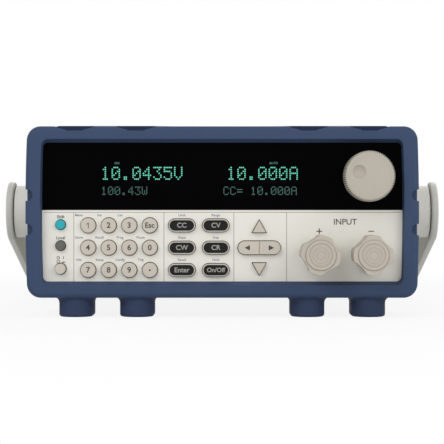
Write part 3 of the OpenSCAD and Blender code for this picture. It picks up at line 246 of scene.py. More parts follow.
# Keys are this dark below the panel's face: painted shade in the gap round each key.
SKIRT_SHADE = Finish("key_skirt_painted_shade", (34, 33, 32), 0.6, specular=0.2)
LOCAL = Finish("local_plastic", (98, 98, 94), 0.5, specular=0.2)
BRASS = Finish("stud_brass", (199, 166, 90), 0.3, Grain.BRUSHED, metallic=1.0)
COPPER = Finish("bar_copper", (184, 115, 70), 0.32, Grain.BRUSHED, metallic=1.0)
ALUMINIUM = Finish("sink_aluminium", (172, 176, 180), 0.38, Grain.BRUSHED, metallic=1.0)
BLACK = Finish("black_plastic", (36, 37, 39), 0.45, mottle=0.1)
LAMINATE = Finish("board_laminate", (44, 104, 66), 0.4, grain_size=0.6 * MM)
IRON = Finish("core_iron", (112, 107, 94), 0.55, Grain.BRUSHED, metallic=0.6)
STRIP = Finish("strip_plastic", (63, 125, 78), 0.45)
PORT = Finish("port_metal", (166, 170, 175), 0.3, Grain.BRUSHED, metallic=1.0)
SCREW = Finish("screw_steel", (150, 153, 157), 0.28, Grain.BRUSHED, metallic=1.0)
INK = Finish("dark_ink", (62, 60, 57), 0.6, Grain.SMOOTH)
BLUE_INK = Finish("grey_blue_ink", (118, 124, 140), 0.6, Grain.SMOOTH)
LINE_INK = Finish("line_ink", (166, 162, 154), 0.6, Grain.SMOOTH, specular=0.2)
LIGHT_INK = Finish("light_ink", (158, 156, 150), 0.6, Grain.SMOOTH, specular=0.2)
BRIGHT_GLOW = Finish("bright_segments", (96, 190, 162), 0.5, Grain.SMOOTH, specular=0.1, glow=0.42)
DIM_GLOW = Finish("dim_segments", (76, 108, 100), 0.5, Grain.SMOOTH, specular=0.1, glow=0.35)


def evaluated_mesh(thing: bpy.types.Object) -> bpy.types.Mesh:
    """Turns an object with its modifiers into a plain mesh and removes the object.

    Args:
        thing: A helper object that isn't in the scene yet.

    Returns:
        The finished mesh.
    """
    bpy.context.scene.collection.objects.link(thing)
    graph = bpy.context.evaluated_depsgraph_get()
    mesh = bpy.data.meshes.new_from_object(thing.evaluated_get(graph), depsgraph=graph)
    source = thing.data
    bpy.data.objects.remove(thing)
    if isinstance(source, bpy.types.Curve):
        bpy.data.curves.remove(source)
    else:
        bpy.data.meshes.remove(source)
    return mesh


def smooth(mesh: bpy.types.Mesh, angle: float = 38) -> None:
    """Shades a mesh smoothly, apart from its sharp edges.

    Args:
        mesh: The mesh to shade.
        angle: Least angle of a sharp edge, in degrees.
    """
    mesh.shade_smooth()
    mesh.set_sharp_from_angle(angle=math.radians(angle))


def rounded_copy(node: str, width: float, segments: int = 2, cuts: Sequence[Facing] = (),
                 reshape: Callable[[Vector], Vector] | None = None,
                 carve: bpy.types.Mesh | None = None) -> bpy.types.Mesh:
    """Copies a solid of the frame and rounds its edges.

    Args:
        node: Name of the solid.
        width: Width of the rounding, in metres, or zero to keep the faces as they are.
        segments: Number of steps round an edge.
        cuts: A place and a normal for each plane that divides faces.
        reshape: Moves a point of the divided solid, if it is to be bent.
        carve: Closed mesh to cut out of the solid, which is then removed.

    Returns:
        A welded mesh with smooth shading, in the solid's own place.
    """
    mesh = frame["nodes"][node].data.copy()
    mesh.materials.clear()
    if "custom_normal" in mesh.attributes:
        mesh.attributes.remove(mesh.attributes["custom_normal"])
    shape = bmesh.new()
    shape.from_mesh(mesh)
    bmesh.ops.remove_doubles(shape, verts=shape.verts, dist=WELD)
    if width:
        bmesh.ops.dissolve_limit(shape, angle_limit=FLAT_ANGLE, verts=shape.verts, edges=shape.edges)
    for place, normal in cuts:
        parts = [*shape.verts, *shape.edges, *shape.faces]
        bmesh.ops.bisect_plane(shape, geom=parts, dist=CUT_SLACK, plane_co=place, plane_no=normal)
    if reshape:
        for vertex in shape.verts:
            vertex.co = reshape(vertex.co)
    shape.to_mesh(mesh)
    shape.free()
    helper = bpy.data.objects.new("rounded", mesh)
    if carve:
        tool = bpy.data.objects.new("carve", carve)
        bpy.context.scene.collection.objects.link(tool)
        hollow = helper.modifiers.new("hollow", "BOOLEAN")
        hollow.operation = "DIFFERENCE"
        hollow.object = tool
    if width:
        bevel = helper.modifiers.new("edge", "BEVEL")
        bevel.limit_method = "ANGLE"
        bevel.angle_limit = EDGE_ANGLE
        bevel.width = width
        bevel.segments = segments
        bevel.miter_outer = "MITER_ARC"
    rounded = evaluated_mesh(helper)
    if carve:
        bpy.data.meshes.remove(carve)
    smooth(rounded)
    helper = bpy.data.objects.new("weighted", rounded)
    helper.modifiers.new("flats", "WEIGHTED_NORMAL").keep_sharp = True
    return evaluated_mesh(helper)


def dress(mesh: bpy.types.Mesh, finishes: Sequence[Finish],
          choose: Callable[[bpy.types.MeshPolygon], int] | None = None) -> bpy.types.Mesh:
    """Gives a mesh its finishes.

    Args:
        mesh: The mesh to dress.
        finishes: Finishes of the piece, the main one first.
        choose: Gives the number of a face's finish, where there is more than one.

    Returns:
        The same mesh.
    """
    mesh.materials.clear()
    for finish in finishes:
        mesh.materials.append(finish.material())
    for face in mesh.polygons:
        face.material_index = choose(face) if choose else 0
    return mesh


def place_piece(name: str, mesh: bpy.types.Mesh, body: str, nodes: Iterable[str] = ()) -> None:
    """Puts a finished mesh in the scene as a piece of the object.

    Args:
        name: Name of the piece.
        mesh: Its mesh, in the frame's coordinates.
        body: Body that it moves with.
        nodes: Solids of the frame that it stands for.
    """
    mesh.name = name
    piece = bpy.data.objects.new(name, mesh)
    bpy.context.scene.collection.objects.link(piece)
    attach(piece, body)
    if nodes:
        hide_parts(*nodes)
    LOG.info("%s on %s: %d faces", name, body, len(mesh.polygons))


def body_of(node: str) -> str:
    """Gives the name of the body that carries a solid of the frame."""
    return next(body for body, nodes in frame["record"]["behaviour"]["bodies"].items() if node in nodes)


def middle(node: str) -> Vector:
    """Gives the middle of a solid's box."""
    low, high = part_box(node)
    return (low + high) / 2


def islands(node: str) -> list[Box]:
    """Finds the boxes of the separate solids that one node of the frame holds.

    Args:
        node: Name of the node.

    Returns:
        Lower and upper corner of each solid's box.
    """
    shape = bmesh.new()
    shape.from_mesh(frame["nodes"][node].data)
    bmesh.ops.remove_doubles(shape, verts=shape.verts, dist=WELD)
    boxes = []
    left = set(shape.verts)
    while left:
        found, border = set(), [left.pop()]
        while border:
            vertex = border.pop()
            found.add(vertex)
            near = {link.other_vert(vertex) for link in vertex.link_edges} & left
            left -= near
            border += near
        places = [vertex.co for vertex in found]
        boxes.append((Vector([min(p[i] for p in places) for i in range(3)]),
                      Vector([max(p[i] for p in places) for i in range(3)])))
    shape.free()
    return boxes


def on_face(node: str) -> Vector:
    """Gives the middle of a solid's front face.

    Args:
        node: Name of the solid.

    Returns:
        The place, on the plane of the solid's foremost point.
    """
    place = middle(node)
    place.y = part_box(node)[0].y
    return place


def soft_piece(node: str, finish: Finish, width: float = 0.3 * MM, segments: int = 2) -> None:
    """Replaces a solid of the frame by a copy with rounded edges and its real finish.

    Args:
        node: Name of the solid.
        finish: Its finish.
        width: Width of the rounding, in metres, or zero to keep the faces as they are.
        segments: Number of steps round an edge.
    """
    mesh = dress(rounded_copy(node, width, segments), [finish])
    place_piece(f"{node}_shell", mesh, body_of(node), [node])


def finished(shape: bmesh.types.BMesh, name: str) -> bpy.types.Mesh:
    """Turns a shape into a mesh and frees it.

    Args:
        shape: The shape.
        name: Name of the mesh.

    Returns:
        The new mesh.
    """
    mesh = bpy.data.meshes.new(name)
    shape.to_mesh(mesh)
    shape.free()
    return mesh


def joined(meshes: Iterable[bpy.types.Mesh], name: str) -> bpy.types.Mesh:
    """Joins meshes into one mesh and removes them.

    Args:
        meshes: The meshes to join.
        name: Name of the joined mesh.

    Returns:
        The joined mesh.
    """
    shape = bmesh.new()
    for mesh in meshes:
        shape.from_mesh(mesh)
        bpy.data.meshes.remove(mesh)
    return finished(shape, name)


def lettering(words: str, height: float, place: Vector, bold: float = 1.0) -> bpy.types.Mesh:
    """Makes printed words that face the front.

    Args:
        words: The words.
        height: Height of a capital letter, in metres.
        place: Middle of the words, on the face that carries them.
        bold: Factor on the thickening of the strokes.

    Returns:
        A thin mesh, half sunk in the face.
    """
    curve = bpy.data.curves.new("words", "FONT")
    curve.body = words
    curve.size = height / CAP_SHARE
    curve.align_x = "CENTER"
    curve.align_y = "CENTER"
    curve.offset = bold * STROKE_SHARE * curve.size
    curve.extrude = INK_DEPTH / 2
    curve.resolution_u = FONT_STEPS
    return facing_front(evaluated_mesh(bpy.data.objects.new("words", curve)), place)


def plate(outline: Sequence[tuple[float, float]], place: Vector, depth: float = INK_DEPTH) -> bpy.types.Mesh:
    """Makes a thin flat piece that faces the front.

    Args:
        outline: Corners in X and Z, anticlockwise as seen from the front.
        place: Where the outline's zero is, on the face that carries it.
        depth: Thickness, half of it sunk in the face.

    Returns:
        The closed mesh.
    """
    shape = bmesh.new()
    front = [shape.verts.new(place + Vector((x, -depth / 2, z))) for x, z in outline]
    back = [shape.verts.new(place + Vector((x, depth / 2, z))) for x, z in outline]
    shape.faces.new(front)
    shape.faces.new(back[::-1])
    for i in range(len(outline)):
        shape.faces.new([front[i - 1], back[i - 1], back[i], front[i]])
    bmesh.ops.recalc_face_normals(shape, faces=shape.faces)
    return finished(shape, "plate")


def rectangle(w: float, h: float) -> list[tuple[float, float]]:
    """Gives the corners of a rectangle round zero."""
    return [(-w / 2, -h / 2), (w / 2, -h / 2), (w / 2, h / 2), (-w / 2, h / 2)]


def loft(rings: Sequence[Sequence[Vector]], hollow: bool = False) -> bpy.types.Mesh:
    """Skins closed rings of equal length, and closes both ends.

    Args:
        rings: The rings, from one end to the other.
        hollow: Whether the last ring joins the first, as in a hoop.

    Returns:
        A closed mesh.
    """
    shape = bmesh.new()
    rows = [[shape.verts.new(point) for point in ring] for ring in rings]
    following = rows[1:] + rows[:1] if hollow else rows[1:]
    for first, second in zip(rows, following):
        for i in range(len(first)):
            shape.faces.new([first[i - 1], first[i], second[i], second[i - 1]])
    if not hollow:
        shape.faces.new(rows[0])
        shape.faces.new(rows[-1])
    bmesh.ops.recalc_face_normals(shape, faces=shape.faces)
    return finished(shape, "loft")


class Rule:
    """A geometry node tree, built node by node, with named inputs."""

    def __init__(self, name: str) -> None:
        """Starts an empty tree.

        Args:
            name: Name of the tree.
        """
        self.tree = bpy.data.node_groups.new(name, "GeometryNodeTree")
        self.tree.interface.new_socket("Geometry", in_out="OUTPUT", socket_type="NodeSocketGeometry")
        self.names: dict[str, str] = {}
        self.inputs = self.tree.nodes.new("NodeGroupInput")

    def input(self, name: str, kind: str) -> None:
        """Adds a named input of a kind, such as Float, Int, Vector, Object or Material."""
        socket = self.tree.interface.new_socket(name, in_out="INPUT", socket_type=f"NodeSocket{kind}")
        self.names[name] = socket.identifier

    def node(self, kind: str, links: dict[str, bpy.types.NodeSocket | str | float],
             **settings: str) -> bpy.types.Node:
        """Adds a node and fills its inputs.

        Args:
            kind: Blender's name of the node's type.
            links: For each input a socket, the name of a tree input in braces, or a plain value.
            settings: Choices on the node itself.

        Returns:
            The new node.
        """
        node = self.tree.nodes.new(kind)
        for key, value in settings.items():
            setattr(node, key, value)
        for key, value in links.items():
            if isinstance(value, bpy.types.NodeSocket):
                self.tree.links.new(value, node.inputs[key])
            elif isinstance(value, str) and value.startswith("{"):
                self.tree.links.new(self.inputs.outputs[value.strip("{}")], node.inputs[key])
            else:
                node.inputs[key].default_value = value
        return node

    def end(self, geometry: bpy.types.NodeSocket) -> None:
        """Makes real meshes of the copies and gives them their material.

        Args:
            geometry: Socket with the copies.
        """
        real = self.node("GeometryNodeRealizeInstances", {"Geometry": geometry})
        dressed = self.node("GeometryNodeSetMaterial", {"Geometry": real.outputs[0],
                                                        "Material": "{Material}"})
        out = self.tree.nodes.new("NodeGroupOutput")
        self.tree.links.new(dressed.outputs[0], out.inputs["Geometry"])

    def mesh(self, start: bpy.types.Mesh, finish: Finish, **values: object) -> bpy.types.Mesh:
        """Runs the tree.

        Args:
            start: Mesh that the tree starts from.
            finish: Finish of the result.
            values: Values of the named inputs, with underscores for spaces.

        Returns:
            A plain mesh.
        """
        helper = bpy.data.objects.new("rule", start)
        modifier = helper.modifiers.new("rule", "NODES")
        modifier.node_group = self.tree
        for name, value in {"Material": finish.material(), **values}.items():
            modifier[self.names[name.replace("_", " ")]] = value
        mesh = evaluated_mesh(helper)
        if not mesh.materials:
            mesh.materials.append(finish.material())
        return mesh


def rib_ring_rule() -> Rule:
    """Builds the tree that sets ribs side by side round a knob.

    Returns:
        The tree, with inputs for the rib, the number, and the size, place and turn of the ring.
    """
    rule = Rule("rib_ring")
    for name, kind in (("Geometry", "Geometry"), ("Count", "Int"), ("Ring Radius", "Float"),
                       ("Pattern", "Object"), ("Place", "Vector"), ("Turn", "Rotation"),
                       ("Material", "Material")):
        rule.input(name, kind)
    ring = rule.node("GeometryNodeMeshCircle", {"Vertices": "{Count}", "Radius": "{Ring Radius}"})
    rib = rule.node("GeometryNodeObjectInfo", {"Object": "{Pattern}"})
    outwards = rule.node("GeometryNodeInputPosition", {})
    turn = rule.node("FunctionNodeAlignRotationToVector", {"Vector": outwards.outputs[0]}, axis="X",
                     pivot_axis="Z")
    copies = rule.node("GeometryNodeInstanceOnPoints", {
        "Points": ring.outputs[0], "Instance": rib.outputs["Geometry"], "Rotation": turn.outputs[0]})
    moved = rule.node("GeometryNodeTransform", {"Geometry": copies.outputs[0], "Translation": "{Place}",
                                                "Rotation": "{Turn}"})
    rule.end(moved.outputs[0])
    return rule


def pattern_rule() -> Rule:
    """Builds the tree that repeats a pattern on points, along the way that each point faces.

    Returns:
        The tree, with inputs for the pattern and its size.
    """
    rule = Rule("pattern_on_points")
    for name, kind in (("Geometry", "Geometry"), ("Pattern", "Object"), ("Size", "Float"),
                       ("Material", "Material")):
        rule.input(name, kind)
    pattern = rule.node("GeometryNodeObjectInfo", {"Object": "{Pattern}"})
    facing = rule.node("GeometryNodeInputNamedAttribute", {"Name": "facing"}, data_type="FLOAT_VECTOR")
    turn = rule.node("FunctionNodeAlignRotationToVector", {"Vector": facing.outputs[0]}, axis="Z")
    copies = rule.node("GeometryNodeInstanceOnPoints", {
        "Points": "{Geometry}", "Instance": pattern.outputs["Geometry"], "Rotation": turn.outputs[0],
        "Scale": "{Size}"})
    rule.end(copies.outputs[0])
    return rule


def repeated(rule: Rule, pattern: bpy.types.Mesh, places: Sequence[Facing], finish: Finish,
             size: float = 1.0) -> bpy.types.Mesh:
    """Repeats a pattern at places.

    Args:
        rule: The tree from pattern_rule().
        pattern: Mesh to repeat, facing +Z.
        places: A place and a facing direction for each copy.
        finish: Finish of the copies.
        size: Scale of the copies.

    Returns:
        One plain mesh with all the copies.
    """
    points = bpy.data.meshes.new("points")
    points.from_pydata([place for place, _ in places], [], [])
    facing = points.attributes.new("facing", "FLOAT_VECTOR", "POINT")
    for value, (_, way) in zip(facing.data, places):
        value.vector = way
    sample = bpy.data.objects.new("pattern", pattern)
    bpy.context.scene.collection.objects.link(sample)
    mesh = rule.mesh(points, finish, Pattern=sample, Size=size)
    bpy.data.objects.remove(sample)
    bpy.data.meshes.remove(pattern)
    return mesh


def turned(profile: Sequence[tuple[float, float]], sides: int, hollow: bool = False) -> bpy.types.Mesh:
    """Turns a profile about Z.

    Args:
        profile: Radius and height of each ring, from the bottom up.
        sides: Number of sides.
        hollow: Whether the profile is closed, as in a hoop.

    Returns:
        A closed mesh that faces +Z.
    """
    turns = [2 * math.pi * i / sides for i in range(sides)]
    return loft([[Vector((r * math.cos(t), r * math.sin(t), h)) for t in turns] for r, h in profile], hollow)


def hoop(radius: float, width: float, depth: float, sides: int) -> bpy.types.Mesh:
    """Makes a flat ring that faces +Z.

    Args:
        radius: Radius to the middle of the ring's width.
        width: Width of the ring.
        depth: Thickness of the ring, half of it below zero.
        sides: Number of sides.

    Returns:
        A closed mesh.
    """
    return turned([(radius + w, h) for w, h in rectangle(width, depth)], sides, True)


def facing_front(mesh: bpy.types.Mesh, place: Vector) -> bpy.types.Mesh:
    """Turns a mesh that faces +Z to the front and moves it to a place."""
    mesh.transform(Matrix.Translation(place) @ Matrix.Rotation(math.pi / 2, 4, "X"))
    return mesh


@dataclass
class Bumpers:
    """The two moulded bumpers at the ends of the case.

    The sides bulge by crown, and the root of a foot spreads by flare. notch_show is how deep the side notches
    look from the front, and rib_share is the part of the stop rib's height that is kept. The last three
    fields are filled for one bumper at a time.
    """

    edge: float = 0.5 * MM
    crown: float = 0.9 * MM
    wall: float = 4.6 * MM
    mouth_half_w: float = 103.25 * MM
    mouth_r: float = 2.6 * MM
    mouth_flare: float = 2 * MM
    side_flare: float = 0.7 * MM
    lip_t: float = 5 * MM
    lip_slack: float = 0.125 * MM
    top: float = 110.3 * MM
    rib_share: float = 0.7
    rib_reach: float = 4.8 * MM
    notch_d: float = 8 * MM
    notch_show: float = 3 * MM
    notch_z: tuple[float, float] = (9.7 * MM, -10.1 * MM)
    groove_d: float = 1.15 * MM
    groove_half_h: float = 3.3 * MM
    foot_x: tuple[float, float] = (49.6 * MM, 85 * MM)
    foot_h: float = 11.3 * MM
    foot_r: float = 10 * MM
    foot_ends: tuple[float, float] = (13.5 * MM, 26.5 * MM)
    flare: float = 1.7 * MM
    flare_slack: float = 0.05 * MM
    rib_from: float = 18 * MM
    rib_slope: float = -0.7
    pocket_half_w: float = 11.8 * MM
    pocket_d: float = 2.5 * MM
    pocket_l: float = 8 * MM
    steps: int = 12
    centre: float = field(init=False)
    half_h: float = field(init=False)
    half_w: float = field(init=False)
    face: float = field(init=False)
    inwards: int = field(init=False)

    def build(self) -> None:
        """Rounds, bends and dresses both bumpers."""
        self.centre = middle("front_panel").z
        self.half_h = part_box("front_panel")[1].z - self.centre
        levels = [self.centre + self.half_h * (2 * i / self.steps - 1) for i in range(self.steps + 1)]
        cuts = [(UP * z, UP) for z in levels]
        for node in ("front_bumper", "rear_bumper"):
            low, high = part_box(node)
            self.half_w = high.x
            self.face, self.inwards = (low.y, 1) if node == "front_bumper" else (high.y, -1)
            hollows = joined(self._pockets() + self._grooves(high.y - low.y), "hollows")
            mesh = rounded_copy(node, self.edge, cuts=cuts, reshape=self._shaped, carve=hollows)
            # The feet and the front of the stop rib get darker copies of the rubber: painted shade.
            dress(mesh, [RUBBER, FOOT_SHADE, RIB_FRONT_SHADE], self._part)
            place_piece(f"{node}_shell", mesh, "chassis", [node])

    def _shaped(self, point: Vector) -> Vector:
        """Bulges the sides, steepens the mouth's sides, lowers the rib on top and lifts the notches' floors.

        Args:
            point: Place on the bumper.

        Returns:
            The new place.
        """
        depth = abs(point.y - self.face)
        side = abs(point.x)
        level = max(1 - ((point.z - self.centre) / self.half_h) ** 2, 0)
        start = self.mouth_half_w - self.mouth_r
        in_lip = depth < self.lip_t + self.lip_slack
        inner, reach = (start, self.mouth_r) if in_lip else (self.half_w - self.wall, self.wall)
        moved = self.crown * min(max((side - inner) / reach, 0), 1) * level
        rim = self.mouth_half_w + self.mouth_flare
        if depth < self.lip_t / 2 and side < rim + self.edge and abs(point.z - self.centre) < self.half_h:
            moved -= (self.mouth_flare - self.side_flare) * max((side - start) / (rim - start), 0)
        high = max(point.z - self.top, 0)
        if high > self.edge and side > self.foot_x[1]:
            moved += self.rib_reach
        floor = 0.0
        if side > start and self.lip_t < depth < self.notch_d + self.edge:
            floor = self.inwards * (self.notch_show - depth)
        aside, drop = self._flared(side, depth, point.z)
        rise = high * (self.rib_share - 1) - drop
        return point + Vector(((moved + aside) * math.copysign(1, point.x), floor, rise))

    def _flared(self, side: float, depth: float, z: float) -> tuple[float, float]:
        """Widens the flare where the sides of a foot run into the bumper.

        Args:
            side: Distance from the middle of the bumper.
            depth: Distance behind the bumper's face.
            z: Height above the floor.

        Returns:
            How far the point moves outwards, and how far down.
        """
        across = side - min(self.foot_x, key=lambda x: abs(side - x))
        along = depth - min(max(depth, self.foot_ends[0]), self.foot_ends[1])
        out = math.hypot(across, along)
        low = self.foot_h - z
        slack = self.flare_slack
        beside = self.foot_r - slack < out < self.foot_r + self.flare + slack
        if not (beside and -slack < low < self.flare + slack):
            return 0.0, 0.0
        share = across / out
        return share * (out - self.foot_r), abs(share) * low

    def _part(self, face: bpy.types.MeshPolygon) -> int:
        """Tells the feet and the front of the stop rib, which get painted shade, from the rest of a bumper.

        Args:
            face: A face of the bumper.

        Returns:
            Number of its finish.
        """
        if face.center.z < self.foot_h:
            return 1
        behind = abs(face.center.y - self.face) > self.rib_from
        above = face.center.z > self.top - self.pocket_d
        return 2 if behind and above and face.normal.y * self.inwards < self.rib_slope else 0

    def _pockets(self) -> list[bpy.types.Mesh]:
        """Makes the cutters that round the front of the four pockets for the feet of the next instrument.

        Returns:
            Four short bars with a round underside, level with the bumper's top at their sides.
        """
        half, d = self.pocket_half_w, self.pocket_d
        radius = (half * half + d * d) / (2 * d)
        spread = [half * (i / self.steps - 1) for i in range(2 * self.steps + 1)]
        section = [(x, self.top - math.sqrt(radius * radius - x * x) + radius - d) for x in spread]
        section += [(half, self.top + d), (-half, self.top + d)]
        pockets = []
        for middle_x in (side * x for side in (-1, 1) for x in self.foot_x):
            rings = [[Vector((middle_x + x, self.face + self.inwards * y, z)) for x, z in section]
                     for y in (-self.edge, self.pocket_l)]
            pockets.append(loft(rings))
        return pockets

    def _grooves(self, length: float) -> list[bpy.types.Mesh]:
        """Makes the cutters of the shallow grooves that run back from the side notches.

        Args:
            length: Depth of the bumper from front to back.

        Returns:
            Four long bars, two on each side.
        """
        floor = self.half_w + self.crown - self.groove_d
        reach, half = self.groove_d + self.crown, self.groove_half_h
        grooves = []
        for side, z in ((side, z) for side in (-1, 1) for z in self.notch_z):
            section = [(floor, -half), (floor + reach, -half), (floor + reach, half), (floor, half)][::side]
            rings = [[Vector((side * x, self.face + self.inwards * y, self.centre + z + dz))
                      for x, dz in section] for y in (-self.edge, length + self.edge)]
            grooves.append(loft(rings))
        return grooves


@dataclass
class CaseShell:
    """The sheet-metal cover, tray and rear panel."""

    edge: float = 0.25 * MM

    def build(self) -> None:
        """Rounds and dresses the sheets."""
        soft_piece("case_cover", PAINT, self.edge)
        soft_piece("chassis_tray", STEEL, self.edge)
        soft_piece("rear_panel", REAR, self.edge)


@dataclass
class FrontPanel:
    """The moulded panel with its printed lines, words and signs.

    A rise or shift is the distance of a print from the middle of the keys or terminals that it belongs to. The
    power fields are for the four marks above the power button: power_ring and power_box hold a radius and the
    width of the line, and power_base a thickness and a drop.
    """

    edge: float = 0.35 * MM
    line_w: float = 0.4 * MM
    lip: float = 4 * MM
    head: float = 1.4 * MM
    word_h: float = 1.8 * MM
    second_h: float = 1.5 * MM
    input_h: float = 3.5 * MM
    word_rise: float = 4.5 * MM
    second_rise: float = 5.9 * MM
    second_shift: float = -5.4 * MM
    input_bold: float = 0.6
    input_shift: float = 0.6 * MM
    input_rise: float = 18.5 * MM
    sign: float = 3.2 * MM
    sign_w: float = 0.55 * MM
    sign_rise: float = 13.2 * MM
    plus_shift: float = 0.5 * MM
    minus_shift: float = 0.9 * MM
    power_x: tuple[float, float] = (-1.4 * MM, 1.6 * MM)
    power_z: tuple[float, float] = (6.4 * MM, 4.2 * MM)
    power_stroke: float = 1.7 * MM
    power_ring: tuple[float, float] = (0.75 * MM, 0.35 * MM)
    power_box: tuple[float, float] = (1.05 * MM, 0.4 * MM)
    power_base: tuple[float, float] = (0.6 * MM, 0.4 * MM)
    ring_sides: int = 24
    face: float = field(init=False)

    def build(self) -> None:
        """Makes the panel, its lines, its words and its signs."""
        soft_piece("front_panel", PANEL, self.edge)
        self.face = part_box("front_panel")[0].y
        self._lines()
        self._words()
        self._signs()

    def _spot(self, node: str, dx: float, dz: float) -> Vector:
        """Gives a place on the panel beside a key or terminal."""
        place = middle(node)
        return Vector((place.x + dx, self.face, place.z + dz))

    def _lines(self) -> None:
        """Draws the lines between the groups of controls, each at its share of the gap between two of them."""
        low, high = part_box("front_panel")
        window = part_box("display_window")[0].z
        left, right = low.x + self.lip, high.x - self.lip
        bottom, top = low.z + self.lip, window - self.head
        pairs = (("power_button", "key_1", 0.53), ("key_escape", "key_cc", 0.62),
                 ("key_cv", "key_left", 0.54), ("key_right", "terminal_knob_positive", 0.29))
        strips = [plate(rectangle(right - left, self.line_w), Vector(((left + right) / 2, self.face, top)))]
        for first, second, share in pairs:
            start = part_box(first)[1].x
            x = start + share * (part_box(second)[0].x - start)
            strip = rectangle(self.line_w, top - bottom)
            strips.append(plate(strip, Vector((x, self.face, (top + bottom) / 2))))
        place_piece("panel_lines", dress(joined(strips, "lines"), [LINE_INK]), "chassis")

    def _words(self) -> None:
        """Prints the words beside the keys and the terminals."""
        first = [lettering(word, self.word_h, self._spot(node, 0, self.word_rise))
                 for node, word in (("key_shift", "Shift"), ("key_local", "Local"))]
        second = {"key_1": "Menu", "key_2": "Set", "key_3": "List", "key_4": "Store", "key_5": "Recall",
                  "key_6": "Prog", "key_0": "Pause", "key_7": "Info", "key_8": "Setup", "key_9": "Config",
                  "key_point": "Trig", "key_cc": "Limit", "key_cv": "Range", "key_cw": "Slope",
                  "key_cr": "Step", "key_enter": "Recall", "key_on_off": "Hold"}
        small = []
        for node, word in second.items():
            beside = node == "key_point" or node.removeprefix("key_").isdigit()
            spot = self._spot(node, self.second_shift if beside else 0, self.second_rise)
            small.append(lettering(word, self.second_h, spot))
        plus, minus = middle("terminal_knob_positive"), middle("terminal_knob_negative")
        title = Vector(((plus.x + minus.x) / 2 + self.input_shift, self.face, plus.z + self.input_rise))
        first.append(lettering("INPUT", self.input_h, title, self.input_bold))
        place_piece("panel_words", dress(joined(first, "words"), [INK]), "chassis")
        place_piece("second_words", dress(joined(small, "words"), [BLUE_INK]), "chassis")

    def _signs(self) -> None:
        """Prints the signs of the terminals and of the power button."""
        bar = rectangle(self.sign, self.sign_w)
        post = rectangle(self.sign_w, self.sign)
        plus = self._spot("terminal_knob_positive", self.plus_shift, self.sign_rise)
        minus = self._spot("terminal_knob_negative", self.minus_shift, self.sign_rise)
        marks = [plate(bar, plus), plate(post, plus), plate(bar, minus)]
        (off, on), (high, low) = self.power_x, self.power_z
        ring = hoop(*self.power_ring, INK_DEPTH, self.ring_sides)
        marks.append(facing_front(ring, self._spot("power_button", off, high)))
        stroke = rectangle(self.power_ring[1], self.power_stroke)
        marks.append(plate(stroke, self._spot("power_button", on, high)))
        box = hoop(*self.power_box, INK_DEPTH, 4)
        box.transform(Matrix.Rotation(math.pi / 4, 4, "Z"))
        marks.append(facing_front(box, self._spot("power_button", off, low)))
        base, drop = self.power_base
        marks.append(plate(rectangle(self.power_stroke, base), self._spot("power_button", on, low - drop)))
        place_piece("panel_signs", dress(joined(marks, "signs"), [INK]), "chassis")


DOT_FONT = {
    "0": (".###.", "#...#", "#..##", "#.#.#", "##..#", "#...#", ".###."),
    "1": ("..#..", ".##..", "..#..", "..#..", "..#..", "..#..", ".###."),
    "3": ("#####", "...#.", "..#..", "...#.", "....#", "#...#", ".###."),
    "4": ("...#.", "..##.", ".#.#.", "#..#.", "#####", "...#.", "...#."),
    "5": ("#####", "#....", "####.", "....#", "....#", "#...#", ".###."),
    "A": (".###.", "#...#", "#...#", "#####", "#...#", "#...#", "#...#"),
    "C": (".###.", "#...#", "#....", "#....", "#....", "#...#", ".###."),
    "V": ("#...#", "#...#", "#...#", "#...#", "#...#", ".#.#.", "..#.."),
    "W": ("#...#", "#...#", "#...#", "#.#.#", "#.#.#", "#.#.#", ".#.#."),
    "=": (".....", ".....", "#####", ".....", "#####", ".....", "....."),
    ".": (".....", ".....", ".....", ".....", ".....", ".##..", ".##.."),
    " ": (".....",) * 7,
}


